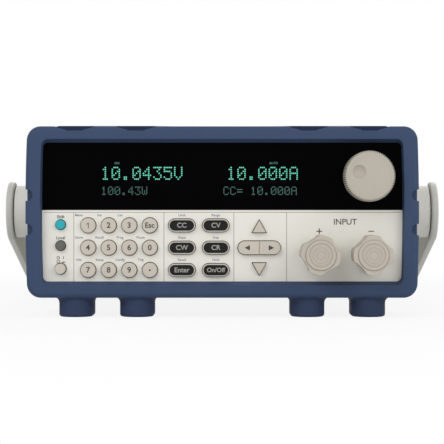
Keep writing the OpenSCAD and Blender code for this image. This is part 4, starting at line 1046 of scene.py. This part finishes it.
@dataclass
class Display:
    """The dark window and the lit characters that show in it.

    The sizes of a dot are shares of a character's row, and columns counts the gap after a character.
    """

    edge: float = 0.2 * MM
    proud: float = 0.03 * MM
    volts_x: float = 33.2 * MM
    amps_x: float = 105.9 * MM
    set_x: float = 103.9 * MM
    on_x: float = 9.2 * MM
    auto_x: float = 27 * MM
    dot_r: float = 0.38
    dot_t: float = 0.04
    dot_sides: int = 8
    columns: int = 6
    rows: int = 7
    big_pitch: float = 6.02 * MM
    big_h: float = 7.8 * MM
    big_drop: float = 17.7 * MM
    small_pitch: float = 3.92 * MM
    small_h: float = 5.0 * MM
    small_drop: float = 27.8 * MM
    flag_h: float = 1.3 * MM
    flag_drop: float = 11.9 * MM
    face: float = field(init=False)
    top: float = field(init=False)

    def build(self, rule: Rule) -> None:
        """Makes the window, the display behind it and the characters.

        Args:
            rule: The tree that repeats a pattern on points.
        """
        soft_piece("display_window", WINDOW, self.edge)
        soft_piece("display_module", GLASS, self.edge)
        low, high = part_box("display_window")
        lip = FrontPanel.lip
        left = low.x + lip
        self.face, self.top = low.y, high.z - lip
        big = self._line("10.0435V", left + self.volts_x, self.big_drop, self.big_pitch, self.big_h)
        big += self._line("10.000A", left + self.amps_x, self.big_drop, self.big_pitch, self.big_h)
        small = self._line("100.43W", left + self.volts_x, self.small_drop, self.small_pitch, self.small_h)
        small += self._line("CC= 10.000A", left + self.set_x, self.small_drop, self.small_pitch, self.small_h)
        for name, dots, height, finish in (("bright_characters", big, self.big_h, BRIGHT_GLOW),
                                           ("dim_characters", small, self.small_h, DIM_GLOW)):
            dot = turned(((self.dot_r, -self.dot_t / 2), (self.dot_r, self.dot_t / 2)), self.dot_sides)
            mesh = repeated(rule, dot, dots, finish, height / self.rows)
            place_piece(name, mesh, "chassis")
        flags = [lettering(word, self.flag_h, Vector((left + x, self.face, self.top - self.flag_drop)))
                 for word, x in (("ON", self.volts_x + self.on_x), ("AUTO", self.amps_x + self.auto_x))]
        place_piece("display_flags", dress(joined(flags, "flags"), [DIM_GLOW]), "chassis")

    def _line(self, words: str, left: float, drop: float, pitch: float, height: float) -> list[Facing]:
        """Gives the dots of one line of characters.

        Args:
            words: The characters.
            left: Left edge of the first one.
            drop: Distance of the line's middle below the mouth's top edge.
            pitch: Distance from character to character.
            height: Height of a character.

        Returns:
            A place and a facing direction for each dot.
        """
        step_x, step_z = pitch / self.columns, height / self.rows
        dots = []
        for i, letter in enumerate(words):
            for row, cells in enumerate(DOT_FONT[letter]):
                for col, cell in enumerate(cells):
                    if cell == "#":
                        x = left + i * pitch + (col + 0.5) * step_x
                        z = self.top - drop + height / 2 - (row + 0.5) * step_z
                        dots.append((Vector((x, self.face - self.proud, z)), FRONT))
        return dots


@dataclass
class Keypad:
    """All keys, with the marks that most of them carry, and the power button.

    flag and stem are shares of a digit's height, and arrow_tip, arrow_base and arrow_half of an arrow's size.
    """

    edge: float = 0.25 * MM
    digit_h: float = 3.3 * MM
    digit_bold: float = 1.5
    flag: float = 0.24
    stem: float = 0.13
    word_h: float = 3.1 * MM
    pill_h: float = 2.6 * MM
    pill_bold: float = 1.1
    pair_h: float = 2.9 * MM
    pill_edge: float = 0.18 * MM
    pill_step: float = 0.4 * MM
    step_slack: float = 0.02 * MM
    arrow: float = 2.6 * MM
    arrow_tip: float = 0.7
    arrow_base: float = 0.5
    arrow_half: float = 0.6
    dot_r: float = 0.55 * MM
    dot_sides: int = 24
    sunk: float = 0.15 * MM
    slit: float = 0.18 * MM
    level: float = field(init=False)
    slit_walls: tuple[float, float] = field(init=False)

    def build(self) -> None:
        """Makes the keys and their marks."""
        self.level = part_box("front_panel")[0].y + self.sunk
        self.slit_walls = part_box("key_left")[1].x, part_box("key_right")[0].x
        digits = {f"key_{n}": str(n) for n in range(10)} | {"key_escape": "Esc"}
        for node, word in digits.items():
            self._key(node, KEY)
            height = self.digit_h if len(word) == 1 else self.word_h
            mark = self._one(node) if word == "1" else lettering(word, height, on_face(node), self.digit_bold)
            self._mark(node, mark, INK)
        pills = {"key_cc": "CC", "key_cv": "CV", "key_cw": "CW", "key_cr": "CR", "key_enter": "Enter",
                 "key_on_off": "On/Off"}
        for node, word in pills.items():
            self._pill(node)
            height = self.pill_h if "/" in word else self.pair_h
            self._mark(node, lettering(word, height, on_face(node), self.pill_bold), LIGHT_INK)
        for node, side in (("key_left", -1), ("key_right", 1)):
            self._key(node, KEY, self._closer)
            tip, base = side * self.arrow * self.arrow_tip, -side * self.arrow * self.arrow_base
            half = self.arrow * self.arrow_half
            head = [(tip, 0), (base, -half), (base, half)]
            self._mark(node, plate(head[::-side], on_face(node)), INK)
        for node in ("key_up", "key_down", "power_button"):
            self._key(node, KEY)
        self._key("key_point", KEY)
        dot = turned(((self.dot_r, -INK_DEPTH / 2), (self.dot_r, INK_DEPTH / 2)), self.dot_sides)
        self._mark("key_point", facing_front(dot, on_face("key_point")), INK)
        self._key("key_shift", SHIFT)
        self._key("key_local", LOCAL)

    def _one(self, node: str) -> bpy.types.Mesh:
        """Draws a figure one with a flag.

        Args:
            node: Name of the key's solid.

        Returns:
            A thin mesh on the key's face.
        """
        h, stem, flag = self.digit_h, self.stem * self.digit_h, self.flag * self.digit_h
        outline = [(stem, -h / 2), (stem, h / 2), (stem / 3, h / 2), (-flag, h / 2 - flag),
                   (-flag, h / 2 - flag - stem), (0, h / 2 - flag), (0, -h / 2)]
        return plate(outline, on_face(node))

    def _closer(self, point: Vector) -> Vector:
        """Narrows the slit between the two side arrow keys.

        Args:
            point: A point of one of the two keys.

        Returns:
            The point, moved to the slit's wall if it was on the wall before.
        """
        left, right = self.slit_walls
        across = point.x - (left + right) / 2
        if abs(across) < right - left:
            point.x += math.copysign(self.slit / 2, across) - across
        return point

    def _key(self, node: str, finish: Finish,
             reshape: Callable[[Vector], Vector] | None = None) -> None:
        """Makes a key whose part in its hole is painted dark, as painted shade in the gap round it.

        Args:
            node: Name of the key's solid.
            finish: Finish of its cap.
            reshape: Moves a point of the key, if it is to be changed.
        """
        mesh = rounded_copy(node, self.edge, cuts=[(Vector((0, self.level, 0)), BACK)], reshape=reshape)
        # Faces behind the panel's face get painted shade.
        dress(mesh, [finish, SKIRT_SHADE], lambda face: int(face.center.y > self.level))
        place_piece(f"{node}_shell", mesh, body_of(node), [node])

    def _pill(self, node: str) -> None:
        """Makes a function key, with a pale rim round its dark face, and with its part in its hole painted
        dark as painted shade in the gap.

        Args:
            node: Name of the key's solid.
        """
        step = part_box(node)[0].y + self.pill_step - self.step_slack
        mesh = rounded_copy(node, self.pill_edge, cuts=[(Vector((0, self.level, 0)), BACK)])
        # Faces behind the panel's face get painted shade.
        dress(mesh, [RIM, FUNCTION, SKIRT_SHADE],
              lambda face: 1 if face.center.y < step else 2 if face.center.y > self.level else 0)
        place_piece(f"{node}_shell", mesh, body_of(node), [node])

    def _mark(self, node: str, mesh: bpy.types.Mesh, ink: Finish) -> None:
        """Prints a mark on a key."""
        place_piece(f"{node}_mark", dress(mesh, [ink]), body_of(node))


@dataclass
class RotaryKnob:
    """The knob on the encoder, with fine ribs round its rim and over its front edge."""

    edge: float = 0.4 * MM
    ribs: int = 72
    rib_w: float = 0.66 * MM
    rib_h: float = 0.9 * MM
    rib_sink: float = 0.42 * MM
    rib_taper: float = 0.5
    valley: float = 0.5 * MM
    corner: float = 1.2 * MM
    face_ring: float = 1.5 * MM
    rib_back: float = 1.2 * MM
    rim_slope: float = -0.5
    dimple: tuple[float, float] = (-6.2 * MM, 2.8 * MM)
    dimple_r: float = 4.3 * MM
    dimple_from: float = 0.05 * MM
    hub: Vector = field(init=False)
    radius: float = field(init=False)
    face: float = field(init=False)

    def build(self, rule: Rule) -> None:
        """Makes the knob and its ribs.

        Args:
            rule: The tree that sets ribs in a ring.
        """
        soft_piece("encoder_shaft", SCREW)
        low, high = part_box("adjust_knob")
        self.hub, self.radius, self.face = middle("adjust_knob"), (high.x - low.x) / 2, low.y
        shell = rounded_copy("adjust_knob", self.edge, reshape=self._slimmed)
        # The rim between the ribs gets painted shade, and so does the dimple.
        dress(shell, [KNOB, VALLEY_SHADE, DIMPLE_SHADE], self._part)
        place_piece("adjust_knob_shell", shell, "adjust_knob", ["adjust_knob"])
        back = high.y - self.rib_back
        sample = bpy.data.objects.new("rib", self._rib(back - low.y))
        bpy.context.scene.collection.objects.link(sample)
        # The ribs are painted lighter than the knob: painted highlight.
        mesh = rule.mesh(bpy.data.meshes.new("start"), RIB_HIGHLIGHT, Count=self.ribs, Pattern=sample,
                         Ring_Radius=self.radius - self.rib_sink, Turn=(math.pi / 2, 0, 0),
                         Place=Vector((self.hub.x, back, self.hub.z)))
        bpy.data.meshes.remove(sample.data)
        smooth(mesh, FINE_ANGLE)
        place_piece("knob_ribs", mesh, "adjust_knob")

    def _slimmed(self, point: Vector) -> Vector:
        """Moves a point of the rim in, to the bottom of the valleys between the ribs."""
        out = Vector((point.x - self.hub.x, 0, point.z - self.hub.z))
        return point - out.normalized() * self.valley if out.length > self.radius - self.face_ring else point

    def _part(self, face: bpy.types.MeshPolygon) -> int:
        """Tells the rim between the ribs and the dimple, which get painted shade, from the rest of the knob.

        Args:
            face: A face of the knob.

        Returns:
            Number of its finish.
        """
        spot = face.center - self.hub
        if face.normal.y > self.rim_slope and spot.xz.length > self.radius - self.face_ring - self.valley:
            return 1
        sunk = face.center.y > self.face + self.dimple_from and face.normal.y < 0
        return 2 if sunk and (spot.xz - Vector(self.dimple)).length < self.dimple_r else 0

    def _rib(self, length: float) -> bpy.types.Mesh:
        """Makes one rib, with X outwards from the rim and Z along the knob to its front.

        Args:
            length: Distance from the rib's back end to the knob's front.

        Returns:
            A bar that bends over the front edge.
        """
        c = self.corner
        path = [((0, 0), 0), ((0, length - c), 0)]
        path += [((c * (math.cos(t) - 1), length - c + c * math.sin(t)), t)
                 for t in (math.pi / 6, math.pi / 3)]
        path += [((-c, length), math.pi / 2), ((-self.face_ring, length), math.pi / 2)]
        rings = []
        for (x, z), turn in path:
            out = Vector((math.cos(turn), 0, math.sin(turn))) * self.rib_h / 2
            side = Vector((0, self.rib_w / 2, 0))
            spot = Vector((x, 0, z))
            top = side * self.rib_taper
            rings.append([spot - out - side, spot - out + side, spot + out + top, spot + out - top])
        return loft(rings)


@dataclass
class ScrewTerminals:
    """The two screw terminals on their studs.

    fill is the share by which the hollows between the lobes are filled, and slim is taken off all round.
    """

    edge: float = 0.5 * MM
    lobe_r: float = 12 * MM
    disc_r: float = 8.5 * MM
    fill: float = 0.4
    slim: float = 0.7 * MM
    foot_r: float = 8.55 * MM
    foot_w: float = 0.3 * MM
    foot_t: float = 0.1 * MM
    disc_t: float = 1 * MM
    inlay_r: float = 6.4 * MM
    inlay_w: float = 0.76 * MM
    inlay_t: float = 0.4 * MM
    inlay_sink: float = 0.4 * MM
    ring_radii: tuple[float, float] = (2.4 * MM, 4.4 * MM)
    ring_w: float = 0.6 * MM
    ring_h: float = 0.36 * MM
    ring_sides: int = 48
    foot_sides: int = 64
    edge_steps: int = 3
    hub: Vector = field(init=False)

    def build(self) -> None:
        """Rounds and dresses the terminals."""
        for pole in ("positive", "negative"):
            knob = f"terminal_knob_{pole}"
            self.hub = middle(knob)
            mesh = dress(rounded_copy(knob, self.edge, self.edge_steps, reshape=self._filled), [TERMINAL])
            place_piece(f"{knob}_shell", mesh, knob, [knob])
            soft_piece(f"terminal_washer_{pole}", BRASS)
            rings = [facing_front(hoop(r, self.ring_w, self.ring_h, self.ring_sides), on_face(knob))
                     for r in self.ring_radii]
            inlay = hoop(self.inlay_r, self.inlay_w, self.inlay_t, self.ring_sides)
            rings.append(facing_front(inlay, on_face(knob) + BACK * self.inlay_sink))
            # A thin dark hoop at the disc's foot: a painted shadow line.
            foot = hoop(self.foot_r, self.foot_w, self.foot_t, self.foot_sides)
            rings.append(facing_front(foot, on_face(knob) + BACK * self.disc_t))
            # The rings are painted darker than the knob, and the hoop at the disc's foot is a painted shadow
            # line.
            mesh = dress(joined(rings, "rings"), [RING_SHADE, VALLEY_SHADE], self._ring_part)
            place_piece(f"{knob}_rings", mesh, knob)
        soft_piece("terminal_insulators", PANEL)
        soft_piece("terminal_studs", BRASS)
        soft_piece("bus_bars", COPPER)

    def _ring_part(self, face: bpy.types.MeshPolygon) -> int:
        """Tells the painted shadow line at the disc's foot from the rings on the disc, which carry painted
        shade.
        """
        return int((face.center - self.hub).xz.length > self.inlay_r + self.inlay_w)

    def _filled(self, point: Vector) -> Vector:
        """Makes the lobes smaller, and the hollows between them shallower.

        Args:
            point: Place on the knob.

        Returns:
            The new place.
        """
        out = Vector((point.x - self.hub.x, 0, point.z - self.hub.z))
        if out.length < self.disc_r:
            return point
        return point + out.normalized() * (self.fill * (self.lobe_r - out.length) - self.slim)


@dataclass
class BailHandle:
    """The swinging handle and the hubs that it turns on."""

    edge: float = 1.2 * MM
    edge_steps: int = 3
    hub_edge: float = 0.5 * MM
    hub_r: float = 16 * MM
    hub_l: float = 21.4 * MM
    rings: int = 9
    first_ring: float = 1.5
    ring_pitch: float = 0.8 * MM
    ring_w: float = 0.4 * MM
    ring_h: float = 0.4 * MM
    ring_sides: int = 64

    def build(self, rule: Rule) -> None:
        """Rounds and dresses the handle, and sets fine rings round the hubs.

        Args:
            rule: The tree that repeats a pattern on points.
        """
        # The hubs and their rings carry painted light against the shade between bumper and arm.
        soft_piece("handle_hubs", HUB_LIT, self.hub_edge)
        for side in ("left", "right"):
            soft_piece(f"handle_arm_{side}", HANDLE, self.edge, self.edge_steps)
        soft_piece("handle_grip", HANDLE)
        pivot = middle("handle_hubs")
        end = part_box("case_cover")[1].x + self.hub_l
        places = []
        for side in (-1, 1):
            for i in range(self.rings):
                x = side * (end - (i + self.first_ring) * self.ring_pitch)
                places.append((Vector((x, pivot.y, pivot.z)), Vector((side, 0, 0))))
        ring = hoop(self.hub_r, self.ring_h, self.ring_w, self.ring_sides)
        mesh = repeated(rule, ring, places, HUB_LIT)
        smooth(mesh, FINE_ANGLE)
        place_piece("hub_rings", mesh, "chassis")


@dataclass
class RearFittings:
    """Fan, inlet, ports and screws at the back of the case.

    head and pin hold a radius and a height for each ring, recess a share of the slot's size and a height. A
    screw's head has radius one, and a pin is in millimetres.
    """

    sides: int = 32
    head: tuple[tuple[float, float], ...] = (
        (0.5, -2), (0.5, 0), (1, 0), (1, 0.25), (0.93, 0.4), (0.75, 0.52), (0.6, 0.56))
    recess: tuple[tuple[float, float], ...] = ((1, 0.56), (0.8, 0.2))
    slot_r: float = 0.52
    slot_w: float = 0.22
    slot_turn: float = 0.5
    serial_half: float = 15.5 * MM
    shell_half: tuple[float, float] = (7.85 * MM, 3.55 * MM)
    insert_t: float = 0.8 * MM
    pin_pitch: float = 2.77 * MM
    pin_row: float = 1.42 * MM
    pin_counts: tuple[int, int] = (5, 4)
    pin: tuple[tuple[float, float], ...] = ((0.5, -0.3), (0.5, 3.6), (0.25, 4.2))
    pin_sides: int = 12
    jack_x: float = 12.2 * MM
    jack_r: tuple[float, float] = (1.3 * MM, 2.7 * MM)
    jack_l: float = 3.8 * MM
    jack_sides: int = 6
    flange_t: float = 1 * MM
    strip_pitch: float = 5 * MM
    strip_n: int = 8
    strip_d: float = 6 * MM
    blade_x: float = 7 * MM
    blade_z: tuple[float, float] = (3.7 * MM, 7.7 * MM)
    blade_half: tuple[float, float] = (1.05 * MM, 2.05 * MM)
    blade_y: tuple[float, float] = (-15.9 * MM, -5.9 * MM)

    def build(self, rule: Rule) -> None:
        """Makes the fittings and the screws.

        Args:
            rule: The tree that repeats a pattern on points.
        """
        soft_piece("fan_frame", BLACK)
        soft_piece("fan_rotor", BLACK)
        soft_piece("data_ports", PORT, 0)
        soft_piece("sense_block", STRIP, 0)
        inlet = dress(rounded_copy("mains_inlet", 0), [BLACK, PORT], self._inlet_part)
        place_piece("mains_inlet_shell", inlet, "chassis", ["mains_inlet"])
        self._contacts(rule)
        self._screws(rule)

    def _inlet_part(self, face: bpy.types.MeshPolygon) -> int:
        """Tells the metal blades of the inlet from its plastic.

        Args:
            face: A face of the inlet.

        Returns:
            Number of its finish.
        """
        spot = face.center - middle("mains_inlet")
        depth = face.center.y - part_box("mains_inlet")[1].y
        z = self.blade_z[abs(spot.x) < self.blade_x / 2]
        aside = min(abs(spot.x - x) for x in (-self.blade_x, 0, self.blade_x))
        near = aside < self.blade_half[0] and abs(spot.z - z) < self.blade_half[1]
        return int(near and self.blade_y[0] < depth < self.blade_y[1])

    def _contacts(self, rule: Rule) -> None:
        """Fills the serial port and the strip with their contact pins, and sets the port's two jack screws.

        Args:
            rule: The tree that repeats a pattern on points.
        """
        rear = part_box("rear_panel")[1].y
        port = Vector((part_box("data_ports")[0].x + self.serial_half, rear, middle("data_ports").z))
        w, h = self.shell_half
        insert = plate([(h / 3 - w, -h), (w - h / 3, -h), (w, h), (-w, h)], port, self.insert_t)
        place_piece("serial_insert", dress(insert, [BLACK]), "chassis")
        places = [(port + Vector(((i - (count - 1) / 2) * self.pin_pitch, 0, row)), BACK)
                  for count, row in zip(self.pin_counts, (self.pin_row, -self.pin_row)) for i in range(count)]
        strip = middle("sense_block")
        for i in range(self.strip_n):
            x = strip.x + (i - (self.strip_n - 1) / 2) * self.strip_pitch
            places.append((Vector((x, rear - self.strip_d, strip.z)), BACK))
        pins = repeated(rule, turned(self.pin, self.pin_sides), places, BRASS, MM)
        place_piece("port_pins", pins, "chassis")
        inner, outer = self.jack_r
        profile = ((inner, 0), (outer, 0), (outer, self.jack_l), (inner, self.jack_l))
        jack = turned(profile, self.jack_sides, True)
        ends = [(port + Vector((side * self.jack_x, self.flange_t, 0)), BACK) for side in (-1, 1)]
        place_piece("jack_screws", repeated(rule, jack, ends, SCREW), "chassis")

    def _screws(self, rule: Rule) -> None:
        """Sets a screw with a cross recess in place of each plain one.

        Screws whose heads agree to a hundredth of a millimetre are set together.

        Args:
            rule: The tree that repeats a pattern on points.
        """
        rear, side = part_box("rear_panel")[1].y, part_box("case_cover")[1].x
        sizes: dict[float, list[Facing]] = {}
        for low, high in islands("case_screws"):
            place = (low + high) / 2
            if high.y > rear:
                place.y, way, size = rear, BACK, (high.x - low.x) / 2
            else:
                way = Vector((math.copysign(1, place.x), 0, 0))
                place.x, size = side * way.x, (high.z - low.z) / 2
            sizes.setdefault(round(size, 5), []).append((place, way))
        meshes = [repeated(rule, self._screw(), places, SCREW, size) for size, places in sizes.items()]
        mesh = dress(joined(meshes, "screws"), [SCREW])
        smooth(mesh)
        place_piece("case_screws_detail", mesh, "chassis", ["case_screws"])

    def _screw(self) -> bpy.types.Mesh:
        """Makes a pan-head screw with a cross recess.

        Returns:
            A closed mesh that faces +Z, with a head of radius one.
        """
        turns = [2 * math.pi * i / self.sides for i in range(self.sides)]
        rings = []
        for r, h in self.head:
            rings.append([Vector((r * math.cos(t), r * math.sin(t), h)) for t in turns])
        for share, h in self.recess:
            reach = [share * (self.slot_r if abs(math.sin(2 * t)) < self.slot_turn else self.slot_w)
                     for t in turns]
            rings.append([Vector((r * math.cos(t), r * math.sin(t), h)) for r, t in zip(reach, turns)])
        return loft(rings)


@dataclass
class Internals:
    """Pieces inside the case, which show only through the vents."""

    def build(self) -> None:
        """Dresses the inner solids as they are."""
        inner = {"key_board": LAMINATE, "power_board": LAMINATE, "control_board": LAMINATE,
                 "encoder_body": PORT, "heat_sink": ALUMINIUM, "power_transistors": BLACK,
                 "transformer": IRON, "power_switch": BLACK}
        for node, finish in inner.items():
            mesh = frame["nodes"][node].data
            mesh.materials.clear()
            mesh.materials.append(finish.material())


@dataclass(frozen=True)
class Lamp:
    """A soft box: where it stands, its width and its power in watts."""

    name: str
    place: tuple[float, float, float]
    size: float
    power: float


@dataclass
class Studio:
    """Floor, light and camera.

    veil is how far the floor is cleared to white under the object. Beyond clear_to it is all white.
    """

    distance: float = 0.950
    eye_height: float = 0.064
    aim_x: float = -0.12 * MM
    aim_z: float = 55.1 * MM
    focal_px: float = 1652.0
    image_px: float = 444.0
    sensor: float = 36.0
    ambient: float = 0.55
    lamps: tuple[Lamp, ...] = (
        Lamp("key", (-0.9, -1.5, 1.1), 1.3, 13), Lamp("fill", (1.1, -1.4, 0.7), 1.2, 9),
        Lamp("rear", (0.3, 1.6, 1.3), 1.2, 11))
    floor_size: float = 6.0
    floor_grey: float = 0.86
    veil: float = 0.87
    clear_from: float = 0.3
    clear_to: float = 0.6

    def build(self) -> None:
        """Sets up the floor, the light and the camera."""
        bpy.context.scene.view_settings.view_transform = "Standard"
        self._floor()
        self._world()
        for lamp in self.lamps:
            self._lamp(lamp)
        self._camera()

    def _floor(self) -> None:
        """Lays a pale floor that keeps the shadow and clears to white away from the object."""
        half = self.floor_size / 2
        mesh = bpy.data.meshes.new("floor")
        corners = [(-half, -half, 0), (half, -half, 0), (half, half, 0), (-half, half, 0)]
        mesh.from_pydata(corners, [], [(0, 1, 2, 3)])
        material = bpy.data.materials.new("studio_floor")
        material.use_nodes = True
        tree = material.node_tree
        tree.nodes.clear()
        out = tree.nodes.new("ShaderNodeOutputMaterial")
        pale = tree.nodes.new("ShaderNodeBsdfDiffuse")
        pale.inputs["Color"].default_value = (*[self.floor_grey] * 3, 1)
        white = tree.nodes.new("ShaderNodeEmission")
        away = tree.nodes.new("ShaderNodeMapRange")
        away.inputs["From Min"].default_value = self.clear_from
        away.inputs["From Max"].default_value = self.clear_to
        away.inputs["To Min"].default_value = self.veil
        reach = tree.nodes.new("ShaderNodeVectorMath")
        reach.operation = "LENGTH"
        seen = tree.nodes.new("ShaderNodeMath")
        seen.operation = "MULTIPLY"
        place = tree.nodes.new("ShaderNodeTexCoord")
        tree.links.new(place.outputs["Object"], reach.inputs[0])
        tree.links.new(reach.outputs["Value"], away.inputs["Value"])
        tree.links.new(away.outputs["Result"], seen.inputs[0])
        tree.links.new(self._backdrop_rays(tree), seen.inputs[1])
        self._mixed(tree, seen.outputs[0], pale, white, out)
        mesh.materials.append(material)
        floor = bpy.data.objects.new("floor", mesh)
        bpy.context.scene.collection.objects.link(floor)

    def _world(self) -> None:
        """Lights the object softly from all round, and shows white behind it."""
        world = bpy.data.worlds.new("studio")
        bpy.context.scene.world = world
        world.use_nodes = True
        tree = world.node_tree
        tree.nodes.clear()
        out = tree.nodes.new("ShaderNodeOutputWorld")
        soft = tree.nodes.new("ShaderNodeBackground")
        soft.inputs["Strength"].default_value = self.ambient
        white = tree.nodes.new("ShaderNodeBackground")
        for shade in (soft, white):
            shade.inputs["Color"].default_value = (1, 1, 1, 1)
        self._mixed(tree, self._backdrop_rays(tree), soft, white, out)

    def _mixed(self, tree: bpy.types.NodeTree, share: bpy.types.NodeSocket, first: bpy.types.Node,
               second: bpy.types.Node, out: bpy.types.Node) -> None:
        """Sends a mixture of two shaders to the output.

        Args:
            tree: Node tree of the floor or the world.
            share: Socket with the share of the second shader.
            first: The first shader node.
            second: The second one.
            out: Output node of the tree.
        """
        mix = tree.nodes.new("ShaderNodeMixShader")
        for i, socket in enumerate((share, first.outputs[0], second.outputs[0])):
            tree.links.new(socket, mix.inputs[i])
        tree.links.new(mix.outputs[0], out.inputs["Surface"])

    def _backdrop_rays(self, tree: bpy.types.NodeTree) -> bpy.types.NodeSocket:
        """Tells the rays that show the white backdrop from those that only carry light.

        Args:
            tree: Node tree of the floor or the world.

        Returns:
            A socket that is one for rays of the camera, of mirrors and of glass.
        """
        path = tree.nodes.new("ShaderNodeLightPath")
        shown = path.outputs["Is Camera Ray"]
        for ray in ("Is Glossy Ray", "Is Transmission Ray"):
            either = tree.nodes.new("ShaderNodeMath")
            either.operation = "MAXIMUM"
            tree.links.new(shown, either.inputs[0])
            tree.links.new(path.outputs[ray], either.inputs[1])
            shown = either.outputs[0]
        return shown

    def _lamp(self, lamp: Lamp) -> None:
        """Adds a soft box that faces the object.

        Args:
            lamp: The soft box.
        """
        light = bpy.data.lights.new(lamp.name, "AREA")
        light.shape = "SQUARE"
        light.size = lamp.size
        light.energy = lamp.power
        stand = bpy.data.objects.new(lamp.name, light)
        stand.location = lamp.place
        way = UP * self.aim_z - Vector(lamp.place)
        stand.rotation_euler = way.to_track_quat("-Z", "Y").to_euler()
        bpy.context.scene.collection.objects.link(stand)

    def _camera(self) -> None:
        """Sets the camera at the photograph's angle."""
        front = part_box("front_bumper")[0].y
        eye = Vector((0, front - self.distance, self.eye_height))
        aim = Vector((self.aim_x, front, self.aim_z))
        lens = bpy.data.cameras.new("camera")
        lens.sensor_width = self.sensor
        lens.lens = self.focal_px / self.image_px * self.sensor
        camera = bpy.data.objects.new("camera", lens)
        camera.location = eye
        camera.rotation_euler = (aim - eye).to_track_quat("-Z", "Y").to_euler()
        bpy.context.scene.collection.objects.link(camera)
        bpy.context.scene.camera = camera


def main() -> None:
    """Builds all sub-assemblies in order."""
    logging.basicConfig(level=logging.INFO, format="%(message)s")
    ribs, pattern = rib_ring_rule(), pattern_rule()
    Bumpers().build()
    CaseShell().build()
    FrontPanel().build()
    Display().build(pattern)
    Keypad().build()
    RotaryKnob().build(ribs)
    ScrewTerminals().build()
    BailHandle().build(pattern)
    RearFittings().build(pattern)
    Internals().build()
    Studio().build()


if __name__ == "__main__":
    main()
